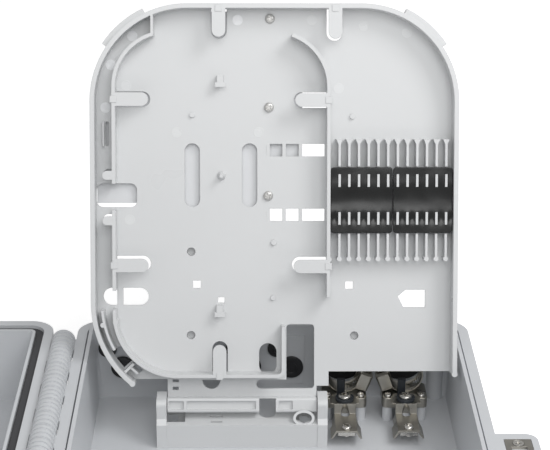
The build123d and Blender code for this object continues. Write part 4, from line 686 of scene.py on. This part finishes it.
# %% Dust caps
cap_w, cap_body, cap_l, cap_plate_t = 8.8, 12.2, 5.0, 1.5
plug_l, plug_in, plug_w, plug_body = 6.0, 0.5, 7.2, 10.6
grip_in_w, grip_in_body, grip_from = 1.3, 1.6, 1.0
groove_depth, groove_low, groove_high, groove_pitch, groove_half = 0.3, 2.1, 4.2, 2.4, 0.5
caps = []
for end_side in (-1, 1):
    grip_w, grip_body = cap_w / 2 - grip_in_w, cap_body / 2 - grip_in_body
    cap = slab("cap", (-cap_w / 2, 0, -cap_body / 2), (cap_w / 2, cap_plate_t, cap_body / 2), round_off=0.4)
    grip = slab("grip", (-grip_w, grip_from, -grip_body), (grip_w, cap_l, grip_body), round_off=0.9, steps=3)
    plug = slab("plug", (-plug_w / 2, -plug_l, -plug_body / 2), (plug_w / 2, plug_in, plug_body / 2),
                round_off=0.5)
    carve(cap, grip, "UNION")
    carve(cap, plug, "UNION")
    for groove in (-1, 0, 1):
        groove_at = groove * groove_pitch
        for face in (-1, 1):
            low_u, high_u = face * grip_w - groove_depth, face * grip_w + groove_depth
            carve(cap, slab("grip_groove", (low_u, groove_low, groove_at - groove_half),
                            (high_u, groove_high, groove_at + groove_half)))
    if end_side < 0:
        cap.data.transform(Matrix.Rotation(pi, 4, "Z"))
    caps.append(tray_row("cap_row", cap, end_side * adapter_l / 2, finishes["cap"]))
cap_rows = joined("cap_rows", caps)
cap_rows.data.materials.append(finishes["cap"])
smooth(cap_rows)
stand_in(cap_rows, "tray", "cap", "adapter_caps")

# %% [markdown]
# ## Worm screws of the hose clamps
# A hose clamp closes when its worm screw drags the slotted band through the housing. The thread is the
# whole point of the piece, so it is swept as a real spiral: the tree draws a Spiral curve and sweeps a
# small round along it, round the turned shank with its slotted hexagon head.

# %% A tree that winds a thread
thread_tree, start, end = input_tree("thread", {
    "Turns": "NodeSocketFloat", "Radius": "NodeSocketFloat", "Length": "NodeSocketFloat",
    "Width": "NodeSocketFloat", "Low": "NodeSocketVector", "Finish": "NodeSocketMaterial"})
nodes, links = thread_tree.nodes, thread_tree.links
helix = nodes.new("GeometryNodeCurveSpiral")
helix.inputs["Resolution"].default_value = 28
helix_place = nodes.new("GeometryNodeTransform")
thread_round = nodes.new("GeometryNodeCurvePrimitiveCircle")
thread_round.inputs["Resolution"].default_value = 8
swept = nodes.new("GeometryNodeCurveToMesh")
swept.inputs["Fill Caps"].default_value = True
with_shank = nodes.new("GeometryNodeJoinGeometry")
links.new(start.outputs["Turns"], helix.inputs["Rotations"])
links.new(start.outputs["Radius"], helix.inputs["Start Radius"])
links.new(start.outputs["Radius"], helix.inputs["End Radius"])
links.new(start.outputs["Length"], helix.inputs["Height"])
links.new(helix.outputs["Curve"], helix_place.inputs["Geometry"])
links.new(start.outputs["Low"], helix_place.inputs["Translation"])
links.new(start.outputs["Width"], thread_round.inputs["Radius"])
links.new(helix_place.outputs["Geometry"], swept.inputs["Curve"])
links.new(thread_round.outputs["Curve"], swept.inputs["Profile Curve"])
links.new(start.outputs["Geometry"], with_shank.inputs["Geometry"])
links.new(swept.outputs["Mesh"], with_shank.inputs["Geometry"])
end_tree(thread_tree, start, end, with_shank.outputs["Geometry"])

# %% Worm screws
worm_r, worm_l, worm_wall, worm_gap = 2.0, 7.4, 0.8, 0.15
thread_d, thread_turns, thread_in = 0.5, 5.5, 0.6
head_r, head_l, head_sides, drive_half, drive_depth = 2.2, 2.2, 6, 0.45, 1.2
core, reach = worm_r - 2 * thread_d, worm_l / 2 + worm_wall + worm_gap
head_top = reach + head_l
for side in ("left", "right"):
    turning = next(joint for joint in frame["joints"] if joint["name"] == f"worm_turn_{side}")
    shank = turned(f"worm_{side}", [(0, -reach), (core * 0.8, -reach), (core, -reach + 0.3),
                                    (core, reach + 0.1), (0, reach + 0.1)], sides=32)
    head = turned("hexagon", [(0, reach), (head_r * 0.93, reach), (head_r, reach + 0.2),
                              (head_r, head_top - 0.35), (head_r * 0.86, head_top), (0, head_top)],
                  head_sides)
    carve(head, slab("slot", (-head_r - 1, -drive_half, head_top - drive_depth),
                     (head_r + 1, drive_half, head_top + 1)))
    worm = joined(f"worm_screw_fine_{side}", [shank, head])
    grown(worm, thread_tree, {
        "Turns": thread_turns, "Radius": (worm_r - thread_d) * MM, "Length": (worm_l - 2 * thread_in) * MM,
        "Width": thread_d * MM, "Low": Vector((0, 0, thread_in - worm_l / 2)) * MM,
        "Finish": finishes["screw_steel"]})
    along = Vector(turning["axis"]).to_track_quat("Z", "Y").to_matrix().to_4x4()
    worm.data.transform(Matrix.Translation(turning["pos_m"]) @ along)
    smooth(worm, sharp_from=35)
    stand_in(worm, f"worm_{side}", "screw_steel", f"worm_screw_{side}")
    print(worm.name, len(worm.data.polygons), "faces")

# %% [markdown]
# ## Ejector-pin marks
# Where the mould's pins push the tray out, they leave round witness marks that only show as a change of
# gloss. Each mark is a disc that stands a few hundredths of a millimetre proud of the tray's floor. Its
# lower roughness is that gloss; its colour, a little lighter than the tray, is a painted sheen. It is turned
# from an outline and set out by the same tree as the screws. The second set is painted much lighter, as
# painted light against the shade in the fiber channel, where all but the last of them lie; the last is
# beside a tab at the top.

# %% Pin marks
mark_r, mark_h, mark_sunk, mark_rim = 2.7, 0.05, 0.3, 0.5
mark_places = {
    "pin_marks": [(19.3, 199.5), (46.0, 196.5), (33.3, 164.5), (68.4, 193.0), (-76.5, 165.8), (-8.1, 141.7),
                  (-50.5, 141.7), (-75.0, 96.4)],
    # painted light: these marks get a much lighter colour so that they read bright in the channel's shade
    "channel_pin_marks": [(-73.2, 191.3), (-84.3, 176.5), (-87.2, 154.5), (-19.0, 199.5)],
}
# a little lighter than the tray's colour: a painted sheen; the lower roughness is the real change of gloss
finishes["pin_marks"] = finish("pin_mark", (0.67, 0.68, 0.685), 0.30, cloud=0.02, cloud_scale=60, grain=0.03,
                               soft_edge=0.05)
# much lighter again than the tray: painted light against the shade of the fiber channel
finishes["channel_pin_marks"] = finish("pin_mark_painted_light", (0.80, 0.81, 0.825), 0.26, cloud=0.03,
                                       cloud_scale=300, grain=0.03, soft_edge=0.05)
for name, places in mark_places.items():
    mark = turned("mark", [(0, -mark_sunk), (mark_r, -mark_sunk), (mark_r, mark_h * 0.4),
                           (mark_r - 0.15, mark_h), (mark_r - 0.45, mark_h),
                           (mark_r - mark_rim, mark_h * 0.5), (0, mark_h * 0.5)])
    seats = [tray_frame @ (Vector((u, v, 0)) * MM) for u, v in places]
    marks = set_out(name, mark, seats, finishes[name], lean_by=tray_frame.to_euler().x)
    stand_in(marks, "tray", "tray")
